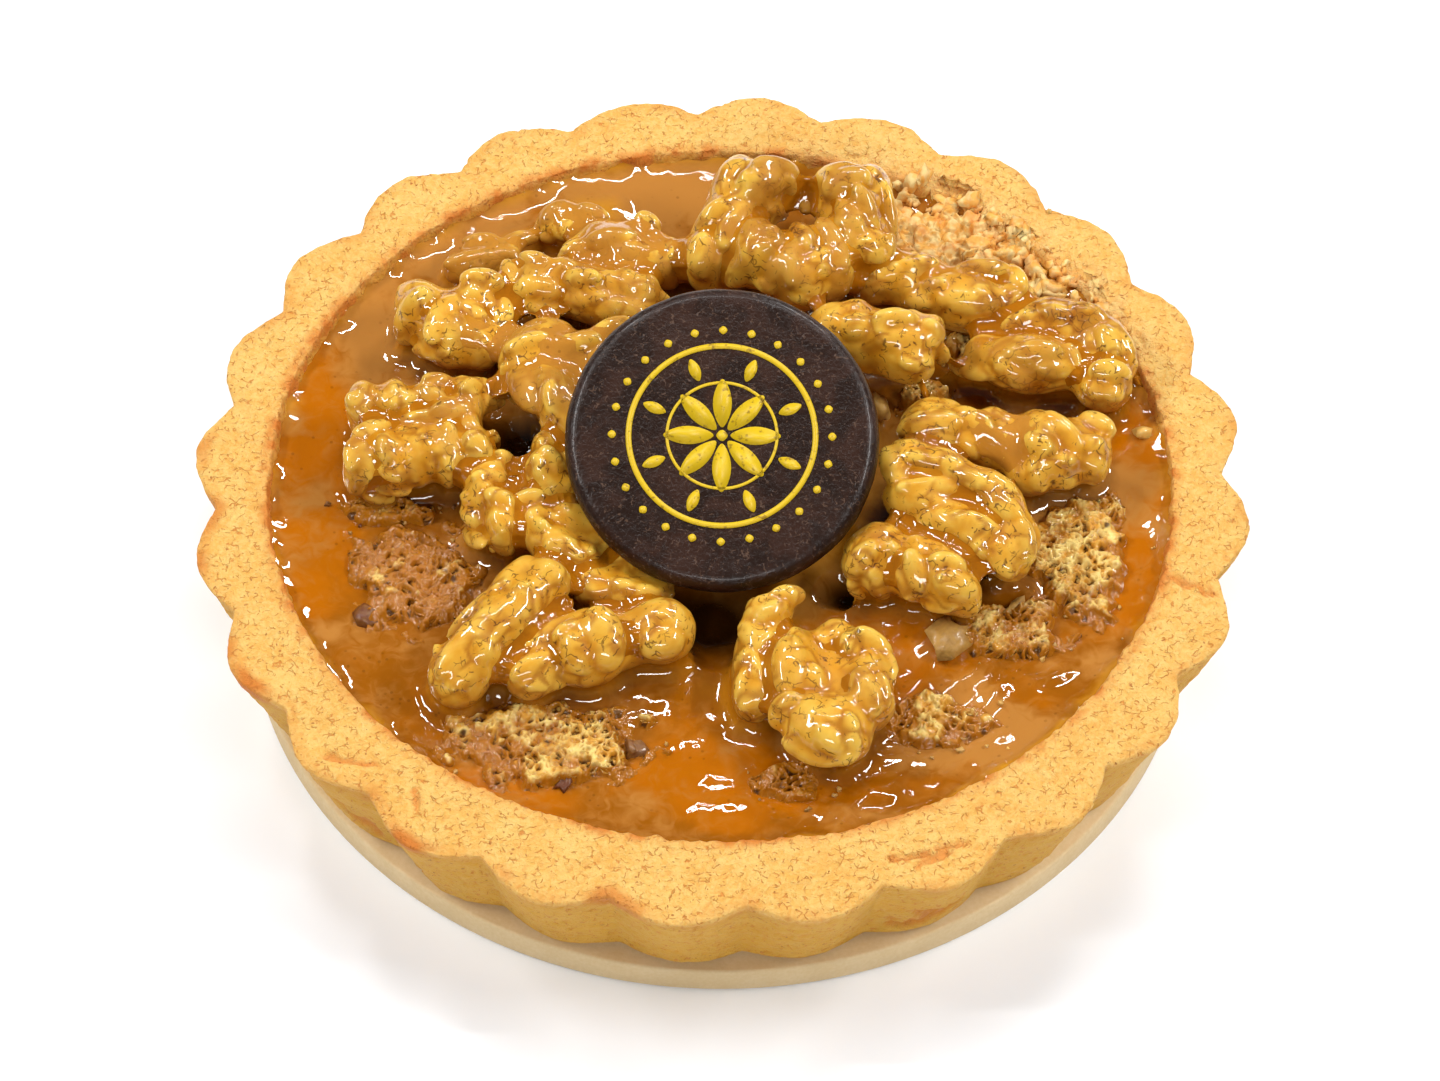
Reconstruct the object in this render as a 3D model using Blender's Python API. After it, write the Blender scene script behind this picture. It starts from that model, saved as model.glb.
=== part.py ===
"""A fluted walnut tart on its round card, with a chocolate disc on top.

The tart stands on Z = 0 with its centre on the Z axis. -Y is the front, where
the chocolate disc leans towards. Sizes are in millimetres times MM.
"""

import math
import random

import bmesh
import bpy
import numpy as np
from mathutils import Matrix, Vector, noise
from mathutils.bvhtree import BVHTree

MM = 0.001

# Card that the tart is sold on
CARD_RADIUS = 63.5 * MM
CARD_THICKNESS = 4.2 * MM
CARD_EDGE = 0.35 * MM
CARD_SIDES = 96

# Crust: a fluted shell with a solid floor
GAP = 0.3 * MM                       # between pieces that rest on each other
CRUST_BOTTOM = CARD_THICKNESS + GAP
CRUST_TOP = 24.0 * MM
FLUTES = 24
FIRST_PEAK = math.radians(10.9)
STEPS_PER_FLUTE = 8
RIM_PEAK = 70.0 * MM
RIM_VALLEY = 66.7 * MM
FOOT_PEAK = 62.1 * MM
FOOT_VALLEY = 59.8 * MM
LOBE_POWER = 0.7                     # below 1 gives wide lobes and narrow valleys
RIM_ROUNDING = 0.9 * MM
FOOT_EDGE = 0.7 * MM                 # chamfer round the foot
INNER_CENTRE_Y = 1.5 * MM            # the hole sits a little towards the back
INNER_RADIUS_X = 60.0 * MM
INNER_RADIUS_Y = 58.2 * MM
INNER_DRAFT = 2.6 * MM               # the inner wall leans in by this much at the floor
FLOOR_TOP = 9.2 * MM
CRUST_RELIEF = 0.28 * MM             # depth of the rough baked surface
RELIEF_SIZE = 7.0 * MM
RELIEF_DETAIL = 2.3                  # how much finer the second layer of relief is
RELIEF_SIDEWAYS = 0.7                # share of the relief that moves the wall outwards
CRUMBLED_ANGLE = math.radians(50)    # where the rim's inner edge has crumbled away
CRUMBLED_SPREAD = math.radians(30)
CRUMBLED_DEPTH = 2.2 * MM
CRUMBLED_TOP_DROP = 0.15             # shares of that depth by which the broken edge sinks
CRUMBLED_WALL_DROP = 0.4

# Filling: sponge crumb under caramel, one solid up to the level that shows
FILLING_BOTTOM = FLOOR_TOP + GAP
FILLING_SIDE_GAP = 0.45 * MM         # kept all round, inside the crust's wall
FILLING_LEVEL = 21.4 * MM
MOUND_HEIGHT = 1.6 * MM              # the filling stands higher under the nuts
MOUND_REACH = 30.0 * MM
FILLING_RINGS = (9, 18, 26, 32, 36, 40, 43.5, 47, 50, 53, 56.5)    # radii of the rings (mm)
FILLING_SIDES = 84
SWELL_SIZE = 14.0 * MM               # slow swell of the caramel's surface
SWELL_HEIGHT = 0.25 * MM
CRUMB_LUMP = 5.5 * MM                # size of the lumps in a crumb patch
CRUMB_HEIGHT = 2.4 * MM
CRUMB_LIFT = 0.45                    # share of that height by which a patch stands up

# Patches of bare crumb: centre and half sizes (mm)
CRUMB_PATCHES = (
    (-41.0, -15.5, 10.5, 9.5),
    (-21.0, -40.5, 14.0, 8.5),
    (50.5, -9.0, 7.5, 12.5),
    (27.5, -35.5, 10.0, 7.0),
    (9.3, -48.0, 6.0, 5.0),
    (33.0, 48.0, 11.0, 6.0),
    (38.5, -20.5, 7.0, 6.0),
)

# Chocolate disc, tipped towards the front
DISC_RADIUS = 20.6 * MM
DISC_THICKNESS = 3.9 * MM
DISC_ROUNDING = 1.7 * MM
DISC_TOP_CENTRE = (0.1 * MM, -1.5 * MM, 37.2 * MM)
DISC_TILT = math.radians(22.5)
DISC_SIDES = 48

# Walnut pieces
NUT_GAP = 0.60 * MM                  # kept between a nut and whatever touches it
DISC_CLEARANCE = 0.8 * MM            # kept between a nut and the chocolate disc
DISC_SIDE_ROOM = 0.8 * MM            # more of it beside the disc, whose edge is a corner
NUT_VOXEL = 0.6 * MM
LOBE_DRIFT = 0.35 * MM               # chance shift of each lobe
LOBE_TURN = 8.0                      # chance turn of each lobe (degrees, either way)
LOBE_BLEND = 0.5 * MM                # how softly the lobes run into each other
TRIANGLES_PER_MM2 = 0.42             # facets for each square millimetre of a nut
PUSH_PASSES = 14                     # rounds of moving a nut's points off its neighbours
DISC_PASSES = 4
MOST_MOVE = 1.2 * MM                 # longest move of a point in one pass
LEAST_SLOPE = 0.4                    # keeps a move short where two lobes are level
WALL_ROOM = 1.0 * MM                 # kept between the nuts and the crust

# A kind of walnut piece is a cluster of rounded lobes. Each lobe has its centre
# and half sizes along, across and up, as shares of the piece's own half length,
# half width and half height, and its turn about the upright axis in degrees.


def fold_row(count, reach, across, up, half_width, half_height, turn):
    """A row of folds that lie across the piece, side by side."""
    row = []
    for k in range(count):
        along = reach * (2 * k / (count - 1) - 1)
        swing = turn if k % 2 else -turn
        row.append((along, across, up, 1.5 * reach / count, half_width, half_height, swing))
    return row


KINDS = {
    "split_half": [
        (0.00, 0.00, -0.10, 0.74, 0.66, 0.66, 0), (0.22, 0.50, 0.12, 0.64, 0.40, 0.86, 8),
        (-0.58, 0.04, 0.00, 0.42, 0.76, 0.88, -10), (-0.20, -0.55, 0.08, 0.27, 0.46, 0.86, 25),
        (0.16, -0.56, 0.14, 0.25, 0.46, 0.84, 15), (0.50, -0.44, 0.12, 0.26, 0.44, 0.78, -5),
        (0.72, 0.00, 0.02, 0.28, 0.38, 0.70, 0),
    ],
    "hook": [
        (0.00, 0.00, -0.15, 0.76, 0.64, 0.66, 0), (-0.70, 0.26, 0.15, 0.32, 0.48, 0.82, 20),
        (-0.26, 0.46, 0.25, 0.42, 0.42, 0.86, 5), (0.30, 0.46, 0.20, 0.46, 0.46, 0.86, -12),
        (0.74, 0.08, 0.05, 0.32, 0.54, 0.82, -45), (-0.34, -0.42, 0.00, 0.44, 0.40, 0.80, 8),
        (0.26, -0.44, 0.06, 0.46, 0.46, 0.84, -10), (0.80, -0.34, -0.06, 0.28, 0.44, 0.74, -30),
    ],
    "bumps": [
        (0.08, 0.00, -0.08, 0.80, 0.62, 0.72, 0), (-0.72, -0.22, -0.10, 0.34, 0.50, 0.66, 20),
        (-0.14, 0.02, 0.08, 0.48, 0.84, 0.94, 25), (0.66, -0.02, 0.04, 0.38, 0.72, 0.84, -15),
        (-0.40, 0.34, 0.00, 0.42, 0.54, 0.80, 10),
    ],
    "ridged": [
        (0.00, 0.00, -0.10, 0.90, 0.78, 0.82, 0), (-0.62, 0.04, 0.00, 0.40, 0.78, 0.88, 15),
        (-0.34, -0.26, 0.34, 0.26, 0.44, 0.62, 30), (0.02, 0.12, 0.42, 0.22, 0.48, 0.60, -25),
        (0.34, -0.10, 0.42, 0.21, 0.54, 0.60, 25), (0.66, -0.12, 0.28, 0.22, 0.62, 0.68, 10),
        (0.38, 0.48, 0.08, 0.50, 0.44, 0.74, 5),
    ],
    "folded_half": [
        (0.00, 0.00, -0.10, 0.88, 0.78, 0.70, 0), (0.34, 0.06, 0.34, 0.56, 0.20, 0.60, 8),
        *fold_row(5, 0.74, -0.48, 0.04, 0.50, 0.86, 8),
        *fold_row(4, 0.66, 0.54, 0.08, 0.42, 0.86, 9),
    ],
    "fan": [
        (0.00, 0.00, -0.12, 0.78, 0.68, 0.68, 0), (-0.54, 0.00, 0.02, 0.44, 0.88, 0.88, -20),
        (0.02, 0.02, 0.16, 0.22, 0.88, 0.82, 15), (0.44, -0.02, 0.06, 0.34, 0.86, 0.88, 30),
        (0.76, -0.18, -0.05, 0.26, 0.60, 0.74, 40), (0.20, 0.46, 0.00, 0.54, 0.46, 0.76, 0),
    ],
    "cluster": [
        (0.04, 0.04, -0.08, 0.78, 0.76, 0.74, 0), (-0.52, 0.10, 0.04, 0.46, 0.74, 0.88, 60),
        (0.06, -0.40, 0.16, 0.48, 0.52, 0.86, -25), (0.60, -0.34, -0.02, 0.40, 0.46, 0.72, -30),
        (0.22, 0.50, 0.08, 0.44, 0.46, 0.84, 15), (0.72, 0.22, -0.06, 0.30, 0.44, 0.68, 0),
    ],
    "pair": [
        (0.05, 0.05, -0.06, 0.74, 0.64, 0.76, 0), (-0.60, 0.06, 0.05, 0.40, 0.80, 0.88, 5),
        (-0.20, 0.14, 0.16, 0.20, 0.68, 0.74, -25), (0.36, -0.02, 0.12, 0.25, 0.90, 0.88, 15),
        (0.64, 0.02, 0.08, 0.22, 0.86, 0.84, -5), (0.86, 0.00, 0.00, 0.17, 0.68, 0.70, 0),
        (0.28, -0.66, -0.10, 0.24, 0.40, 0.62, 0),
    ],
    "broad": [
        (0.00, 0.00, -0.10, 0.76, 0.70, 0.68, 0), (0.04, 0.44, 0.05, 0.76, 0.50, 0.88, -5),
        (0.62, 0.12, 0.06, 0.38, 0.62, 0.82, 60), (-0.28, -0.40, 0.16, 0.60, 0.46, 0.90, 5),
        (0.60, -0.56, -0.06, 0.36, 0.44, 0.74, 20), (-0.80, -0.22, -0.14, 0.26, 0.40, 0.60, 0),
    ],
    "slanted": [
        (0.00, 0.00, -0.10, 0.84, 0.70, 0.74, 0), (-0.44, 0.22, 0.10, 0.52, 0.62, 0.86, 10),
        (0.24, -0.20, 0.16, 0.56, 0.66, 0.92, -5), (0.74, 0.10, 0.02, 0.30, 0.72, 0.80, -30),
        (-0.80, -0.16, -0.10, 0.26, 0.48, 0.62, 0),
    ],
}

# name: kind, centre x, y, z (mm), yaw and tip of the long axis (degrees),
# length, width, height (mm), 1 or -1 for the hand of the piece, seed
WALNUTS = {
    "front_left_long": ("ridged", -28.4, -25.7, 26.8, 52, 4, 26.5, 11.5, 10.5, 1, 3),
    "front_left_bumps": ("bumps", -15.2, -28.0, 26.2, 17, 3, 25.5, 13.0, 11.0, 1, 8),
    "front_half": ("split_half", 14.6, -35.0, 26.4, 88, -4, 24.0, 17.0, 11.0, 1, 5),
    "front_middle_lobe": ("ridged", 5.4, -27.6, 25.8, 84, 6, 21.0, 9.0, 9.5, -1, 12),
    "right_fan": ("fan", 25.3, -15.6, 27.2, -20, 0, 20.0, 12.0, 10.5, 1, 21),
    "right_hook": ("hook", 30.8, -6.4, 28.6, -33, -3, 25.0, 14.5, 10.5, 1, 34),
    "right_pair": ("pair", 37.4, 5.6, 27.2, -9, -2, 28.5, 13.5, 10.5, 1, 13),
    "right_back_broad": ("broad", 44.8, 22.0, 26.8, -8, 0, 23.5, 17.5, 10.5, 1, 55),
    "back_right_long": ("slanted", 29.9, 31.4, 27.2, -12, -3, 25.5, 12.0, 10.5, 1, 89),
    "disc_right_lobe": ("ridged", 21.0, 20.6, 30.4, -9, -3, 20.0, 12.0, 11.0, -1, 14),
    "back_left_lobe": ("ridged", 1.6, 40.8, 30.2, 60, 16, 21.5, 13.0, 13.0, 1, 23),
    "back_right_lobe": ("ridged", 17.6, 41.0, 30.4, 100, 6, 19.0, 14.0, 13.5, -1, 37),
    "back_front_lobe": ("fan", 8.8, 32.8, 31.0, -24, -4, 18.0, 12.0, 12.0, -1, 60),
    "back_left_bar": ("bumps", -13.2, 37.2, 27.4, -13, 0, 18.5, 11.0, 10.0, 1, 97),
    "back_left_knob": ("fan", -20.2, 44.2, 25.2, -30, 0, 12.0, 9.0, 8.0, 1, 15),
    "left_back_fold": ("ridged", -17.8, 29.6, 28.4, -11, -2, 22.5, 11.0, 10.0, -1, 25),
    "left_back_cluster": ("cluster", -36.4, 25.6, 26.8, -16, 0, 17.0, 15.5, 11.0, 1, 40),
    "left_back_ridge": ("ridged", -32.2, 38.0, 24.6, 14, 0, 12.5, 7.0, 6.5, 1, 65),
    "disc_left_half": ("split_half", -19.8, 12.8, 29.8, -52, 4, 24.5, 18.0, 11.0, -1, 10),
    "left_half": ("folded_half", -40.2, 5.8, 27.4, 6, 0, 21.0, 18.0, 11.0, 1, 16),
    "left_inner_folds": ("ridged", -29.4, -6.2, 26.6, -66, -2, 15.5, 9.5, 9.5, 1, 26),
    "left_inner_lobe": ("cluster", -21.4, -10.5, 26.6, -12, 2, 15.0, 10.5, 9.0, 1, 42),
    "disc_left_knob": ("cluster", -22.2, -0.8, 28.8, -70, 0, 11.5, 9.0, 9.0, 1, 68),
    "front_inner_lobe": ("cluster", -12.4, -17.4, 25.4, 14, 0, 14.5, 10.0, 7.2, 1, 11),
    "under_disc_lobe": ("fan", 3.0, 4.0, 27.6, 20, 0, 20.0, 13.0, 10.5, 1, 18),
}


def clear_scene():
    for old in list(bpy.data.objects):
        bpy.data.objects.remove(old)


def make_material(name, color, roughness):
    material = bpy.data.materials.new(name)
    material.use_nodes = True
    shader = material.node_tree.nodes["Principled BSDF"]
    shader.inputs["Base Color"].default_value = (*color, 1.0)
    shader.inputs["Roughness"].default_value = roughness
    shader.inputs["Metallic"].default_value = 0.0
    return material


def add_object(name, mesh, material):
    obj = bpy.data.objects.new(name, mesh)
    bpy.context.scene.collection.objects.link(obj)
    mesh.materials.clear()
    mesh.materials.append(material)
    mesh.shade_smooth()
    return obj


def rings_to_mesh(name, rings, first_centre, last_centre):
    """A closed mesh through rings of equal count, fanned shut at both ends.

    The rings run anticlockwise seen from above, from the underside, up the
    outside and in over the top.
    """
    shell = bmesh.new()
    loops = [[shell.verts.new(point) for point in ring] for ring in rings]
    count = len(rings[0])
    for lower, upper in zip(loops, loops[1:]):
        for i in range(count):
            j = (i + 1) % count
            shell.faces.new((lower[i], lower[j], upper[j], upper[i]))
    bottom = shell.verts.new(first_centre)
    top = shell.verts.new(last_centre)
    for i in range(count):
        j = (i + 1) % count
        shell.faces.new((bottom, loops[0][j], loops[0][i]))
        shell.faces.new((top, loops[-1][i], loops[-1][j]))
    bmesh.ops.triangulate(shell, faces=shell.faces[:])
    mesh = bpy.data.meshes.new(name)
    shell.to_mesh(mesh)
    shell.free()
    return mesh


def circle(radius, z, sides):
    angles = [2 * math.pi * i / sides for i in range(sides)]
    return [(radius * math.cos(a), radius * math.sin(a), z) for a in angles]


# Card -----------------------------------------------------------------------

def make_card(material):
    inner = CARD_RADIUS - CARD_EDGE
    rings = [
        circle(inner, 0.0, CARD_SIDES),
        circle(CARD_RADIUS, CARD_EDGE, CARD_SIDES),
        circle(CARD_RADIUS, CARD_THICKNESS - CARD_EDGE, CARD_SIDES),
        circle(inner, CARD_THICKNESS, CARD_SIDES),
    ]
    mesh = rings_to_mesh("card_disc", rings, (0, 0, 0), (0, 0, CARD_THICKNESS))
    return add_object("card_disc", mesh, material)


# Crust ----------------------------------------------------------------------

def flute(angle):
    """0 in the valleys and 1 on the peaks of the fluted wall."""
    wave = 0.5 + 0.5 * math.cos(FLUTES * (angle - FIRST_PEAK))
    return wave ** LOBE_POWER


def outer_radius(angle, height_share):
    """Radius of the fluted wall, from 0 at its foot to 1 at the rim."""
    foot = FOOT_VALLEY + (FOOT_PEAK - FOOT_VALLEY) * flute(angle)
    rim = RIM_VALLEY + (RIM_PEAK - RIM_VALLEY) * flute(angle)
    return foot + (rim - foot) * height_share


def inner_wall(angle, inset, z):
    """A point of the oval inner wall, moved in by inset."""
    return Vector((
        (INNER_RADIUS_X - inset) * math.cos(angle),
        INNER_CENTRE_Y + (INNER_RADIUS_Y - inset) * math.sin(angle),
        z,
    ))


def wall_point(angle, radius, z):
    return Vector((radius * math.cos(angle), radius * math.sin(angle), z))


def crumbled(angle):
    """How far the inner edge has broken away at an angle."""
    apart = abs((angle - CRUMBLED_ANGLE + math.pi) % (2 * math.pi) - math.pi)
    share = math.sqrt(max(0.0, 1 - apart / CRUMBLED_SPREAD))
    ragged = 0.55 + 0.45 * math.sin(23 * angle) * math.cos(9 * angle)
    return CRUMBLED_DEPTH * share * ragged


def make_crust(material):
    steps = FLUTES * STEPS_PER_FLUTE
    angles = [FIRST_PEAK + 2 * math.pi * i / steps for i in range(steps)]
    height = CRUST_TOP - CRUST_BOTTOM
    rings = [[] for _ in range(9)]
    for angle in angles:
        rim = outer_radius(angle, 1.0)
        broken = crumbled(angle)
        floor_edge = inner_wall(angle, INNER_DRAFT, FLOOR_TOP)
        broken_top = CRUST_TOP - CRUMBLED_TOP_DROP * broken
        rim_inner = inner_wall(angle, -RIM_ROUNDING - broken, broken_top)
        rim_outer = wall_point(angle, rim - RIM_ROUNDING, CRUST_TOP)
        points = (
            wall_point(angle, outer_radius(angle, 0.0) - FOOT_EDGE, CRUST_BOTTOM),
            wall_point(angle, outer_radius(angle, 0.0), CRUST_BOTTOM + FOOT_EDGE),
            wall_point(angle, outer_radius(angle, 0.5), CRUST_BOTTOM + 0.5 * height),
            wall_point(angle, rim, CRUST_TOP - RIM_ROUNDING),
            rim_outer,
            (rim_outer + rim_inner) / 2,
            rim_inner,
            inner_wall(angle, 0.0, CRUST_TOP - RIM_ROUNDING - CRUMBLED_WALL_DROP * broken),
            floor_edge,
        )
        for ring, point in zip(rings, points):
            ring.append(point)
    for ring in rings[2:7]:
        for point in ring:
            spot = point / RELIEF_SIZE
            lift = noise.noise(spot) + 0.5 * noise.noise(spot * RELIEF_DETAIL)
            outward = Vector((point.x, point.y, 0.0)).normalized()
            point += outward * lift * CRUST_RELIEF * RELIEF_SIDEWAYS
            point.z += min(lift, 0.0) * CRUST_RELIEF
    floor_centre = (0, INNER_CENTRE_Y, FLOOR_TOP)
    mesh = rings_to_mesh("crust", rings, (0, 0, CRUST_BOTTOM), floor_centre)
    return add_object("crust", mesh, material)


# Filling --------------------------------------------------------------------

def patch_strength(x, y):
    """0 on caramel, 1 in the middle of a patch of bare crumb."""
    strength = 0.0
    for cx, cy, half_x, half_y in CRUMB_PATCHES:
        away = math.hypot((x / MM - cx) / half_x, (y / MM - cy) / half_y)
        strength = max(strength, min(1.0, max(0.0, (1.15 - away) / 0.4)))
    return strength


def filling_height(x, y):
    mound = MOUND_HEIGHT * math.exp(-(math.hypot(x, y) / MOUND_REACH) ** 2)
    lump = noise.noise(Vector((x, y, 0.0)) / CRUMB_LUMP) + CRUMB_LIFT
    swell = SWELL_HEIGHT * noise.noise(Vector((x, y, 0.02)) / SWELL_SIZE)
    return FILLING_LEVEL + mound + swell + CRUMB_HEIGHT * patch_strength(x, y) * lump


def make_filling(material):
    angles = [2 * math.pi * i / FILLING_SIDES for i in range(FILLING_SIDES)]
    depth = CRUST_TOP - RIM_ROUNDING - FLOOR_TOP
    wall_share = (FILLING_LEVEL - FLOOR_TOP) / depth
    edge_inset = INNER_DRAFT * (1 - wall_share) + FILLING_SIDE_GAP
    bottom_inset = INNER_DRAFT + FILLING_SIDE_GAP
    bottom = [inner_wall(a, bottom_inset, FILLING_BOTTOM) for a in angles]
    edge = [inner_wall(a, edge_inset, FILLING_LEVEL) for a in angles]
    rings = [bottom, edge]
    for radius in reversed(FILLING_RINGS):
        share = radius * MM / INNER_RADIUS_X
        ring = []
        for i, angle in enumerate(angles):
            x = edge[i].x * share
            y = INNER_CENTRE_Y + (edge[i].y - INNER_CENTRE_Y) * share
            ring.append((x, y, filling_height(x, y)))
        rings.append(ring)
    middle = (0, INNER_CENTRE_Y, filling_height(0, INNER_CENTRE_Y))
    mesh = rings_to_mesh("filling", rings, (0, INNER_CENTRE_Y, FILLING_BOTTOM), middle)
    return add_object("filling", mesh, material)


# Chocolate disc -------------------------------------------------------------

def make_disc(material):
    """A flat button with a rounded edge, its top at its own z = 0."""
    rings = []
    half = DISC_THICKNESS / 2
    core = DISC_RADIUS - DISC_ROUNDING
    for turn in (-90, -45, 0, 45, 90):
        a = math.radians(turn)
        radius = core + DISC_ROUNDING * math.cos(a)
        rings.append(circle(radius, half * math.sin(a) - half, DISC_SIDES))
    mesh = rings_to_mesh("chocolate_disc", rings, (0, 0, -DISC_THICKNESS), (0, 0, 0))
    disc = add_object("chocolate_disc", mesh, material)
    disc.location = DISC_TOP_CENTRE
    disc.rotation_euler.x = DISC_TILT
    return disc


def disc_clearance(points):
    """How far points are outside the chocolate disc and the space above it."""
    local = (points - np.array(DISC_TOP_CENTRE)) @ np.array(Matrix.Rotation(DISC_TILT, 3, "X"))
    beyond_rim = np.hypot(local[:, 0], local[:, 1]) - DISC_RADIUS - DISC_SIDE_ROOM
    return np.maximum(beyond_rim, -DISC_THICKNESS - local[:, 2])


# Walnuts --------------------------------------------------------------------

def nut_lobes(row):
    """The rounded lobes of one walnut piece, as ellipsoids in world space."""
    kind, x, y, z, yaw, tip, length, width, height, hand, seed = row
    chance = random.Random(seed)
    turn = Matrix.Rotation(math.radians(yaw), 3, "Z") @ Matrix.Rotation(math.radians(-tip), 3, "Y")
    centre = Vector((x, y, z)) * MM
    half = Vector((length, width * hand, height)) * MM / 2
    lobes = []
    for along, across, up, half_along, half_across, half_up, swing in KINDS[kind]:
        place = Vector((along * half.x, across * half.y, up * half.z))
        place += Vector([chance.uniform(-LOBE_DRIFT, LOBE_DRIFT) for _ in range(3)])
        size = Vector((half_along * half.x, half_across * abs(half.y), half_up * half.z))
        swing = math.radians(swing * hand + chance.uniform(-LOBE_TURN, LOBE_TURN))
        lobes.append((centre + turn @ place, turn @ Matrix.Rotation(swing, 3, "Z"), size))
    return lobes


def depth_field(points, lobes):
    """Signed distance to a nut's lobes, below 0 inside, with the lobes blended."""
    total = np.zeros(len(points))
    for centre, turn, radii in lobes:
        local = (points - np.array(centre)) @ np.array(turn)
        radii = np.array(radii)
        scaled = np.linalg.norm(local / radii, axis=1)
        steepness = np.maximum(np.linalg.norm(local / radii ** 2, axis=1), 1e-6)
        distance = scaled * (scaled - 1.0) / steepness
        total += np.exp(np.minimum(-distance / LOBE_BLEND, 60.0))
    return -LOBE_BLEND * np.log(np.maximum(total, 1e-30))


def slope_of(field, points):
    step = 0.05 * MM
    slope = np.zeros_like(points)
    for axis in range(3):
        shift = np.zeros(3)
        shift[axis] = step
        slope[:, axis] = (field(points + shift) - field(points - shift)) / (2 * step)
    return slope


def push_apart(points, lobes, neighbours, filling_tree):
    """Moves a nut's points until they clear its neighbours, the disc and the filling."""
    for _ in range(PUSH_PASSES):
        for other in neighbours:
            def excess(p):
                return depth_field(p, lobes) - depth_field(p, other) + NUT_GAP
            over = excess(points)
            hit = over > 0
            if hit.any():
                slope = slope_of(excess, points[hit])
                steepness = np.maximum((slope ** 2).sum(axis=1, keepdims=True), LEAST_SLOPE)
                move = slope * over[hit][:, None] / steepness
                points[hit] -= np.clip(move, -MOST_MOVE, MOST_MOVE)
        back = points[:, 1] - INNER_CENTRE_Y
        outward = np.hypot(points[:, 0] / INNER_RADIUS_X, back / INNER_RADIUS_Y)
        most = 1 - WALL_ROOM / INNER_RADIUS_Y
        shrink = np.minimum(1.0, most / np.maximum(outward, 1e-6))
        points[:, 0] *= shrink
        points[:, 1] = INNER_CENTRE_Y + back * shrink
        for point in points:
            above = Vector((point[0], point[1], 2 * DISC_TOP_CENTRE[2]))
            found = filling_tree.ray_cast(above, Vector((0, 0, -1)))
            point[2] = max(point[2], found[0].z + NUT_GAP)
        for _ in range(DISC_PASSES):
            short = DISC_CLEARANCE - disc_clearance(points)
            hit = short > 0
            if not hit.any():
                break
            slope = slope_of(disc_clearance, points[hit])
            points[hit] += slope * short[hit][:, None]
    return points


def blob_mesh(name, lobes):
    """The lobes joined into one skin, smoothed and thinned to the facets it needs."""
    cluster = bmesh.new()
    for centre, turn, radii in lobes:
        place = Matrix.Translation(centre) @ turn.to_4x4() @ Matrix.Diagonal((*radii, 1.0))
        bmesh.ops.create_icosphere(cluster, subdivisions=3, radius=1.0, matrix=place)
    raw = bpy.data.meshes.new(name + "_lobes")
    cluster.to_mesh(raw)
    cluster.free()
    blob = bpy.data.objects.new(name + "_lobes", raw)
    bpy.context.scene.collection.objects.link(blob)
    skin = blob.modifiers.new("skin", "REMESH")
    skin.mode = "VOXEL"
    skin.voxel_size = NUT_VOXEL
    soften = blob.modifiers.new("soften", "SMOOTH")
    soften.factor = 0.5
    soften.iterations = 3
    graph = bpy.context.evaluated_depsgraph_get()
    fine = blob.evaluated_get(graph).data
    area = sum(face.area for face in fine.polygons) / MM ** 2
    triangles = sum(len(face.vertices) - 2 for face in fine.polygons)
    thin = blob.modifiers.new("thin", "DECIMATE")
    thin.ratio = min(1.0, area * TRIANGLES_PER_MM2 / triangles)
    graph = bpy.context.evaluated_depsgraph_get()
    mesh = bpy.data.meshes.new_from_object(blob.evaluated_get(graph))
    bpy.data.objects.remove(blob)
    bpy.data.meshes.remove(raw)
    return mesh


def make_walnuts(material, filling):
    filling_tree = BVHTree.FromObject(filling, bpy.context.evaluated_depsgraph_get())
    lobes_of = {name: nut_lobes(row) for name, row in WALNUTS.items()}
    for name, row in WALNUTS.items():
        mesh = blob_mesh(name, lobes_of[name])
        points = np.empty(len(mesh.vertices) * 3)
        mesh.vertices.foreach_get("co", points)
        points = points.reshape(-1, 3)
        near = []
        for other, its_row in WALNUTS.items():
            reach = (row[6] + its_row[6]) / 2
            if other != name and math.dist(row[1:4], its_row[1:4]) < reach:
                near.append(lobes_of[other])
        points = push_apart(points, lobes_of[name], near, filling_tree)
        mesh.vertices.foreach_set("co", points.ravel())
        mesh.update()
        add_object("walnut_" + name, mesh, material)


def main():
    clear_scene()
    make_card(make_material("card", (0.60, 0.50, 0.36), 0.85))
    make_crust(make_material("crust", (0.84, 0.54, 0.19), 0.75))
    filling = make_filling(make_material("caramel", (0.46, 0.20, 0.04), 0.22))
    make_disc(make_material("chocolate", (0.045, 0.027, 0.020), 0.38))
    make_walnuts(make_material("walnut", (0.58, 0.32, 0.07), 0.30), filling)


main()
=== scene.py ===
# A walnut tart on its round card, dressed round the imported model. Metres, +Z up.
import math
import random

import bpy
import numpy as np
from mathutils import Matrix, Vector, noise
from mathutils.bvhtree import BVHTree


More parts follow.
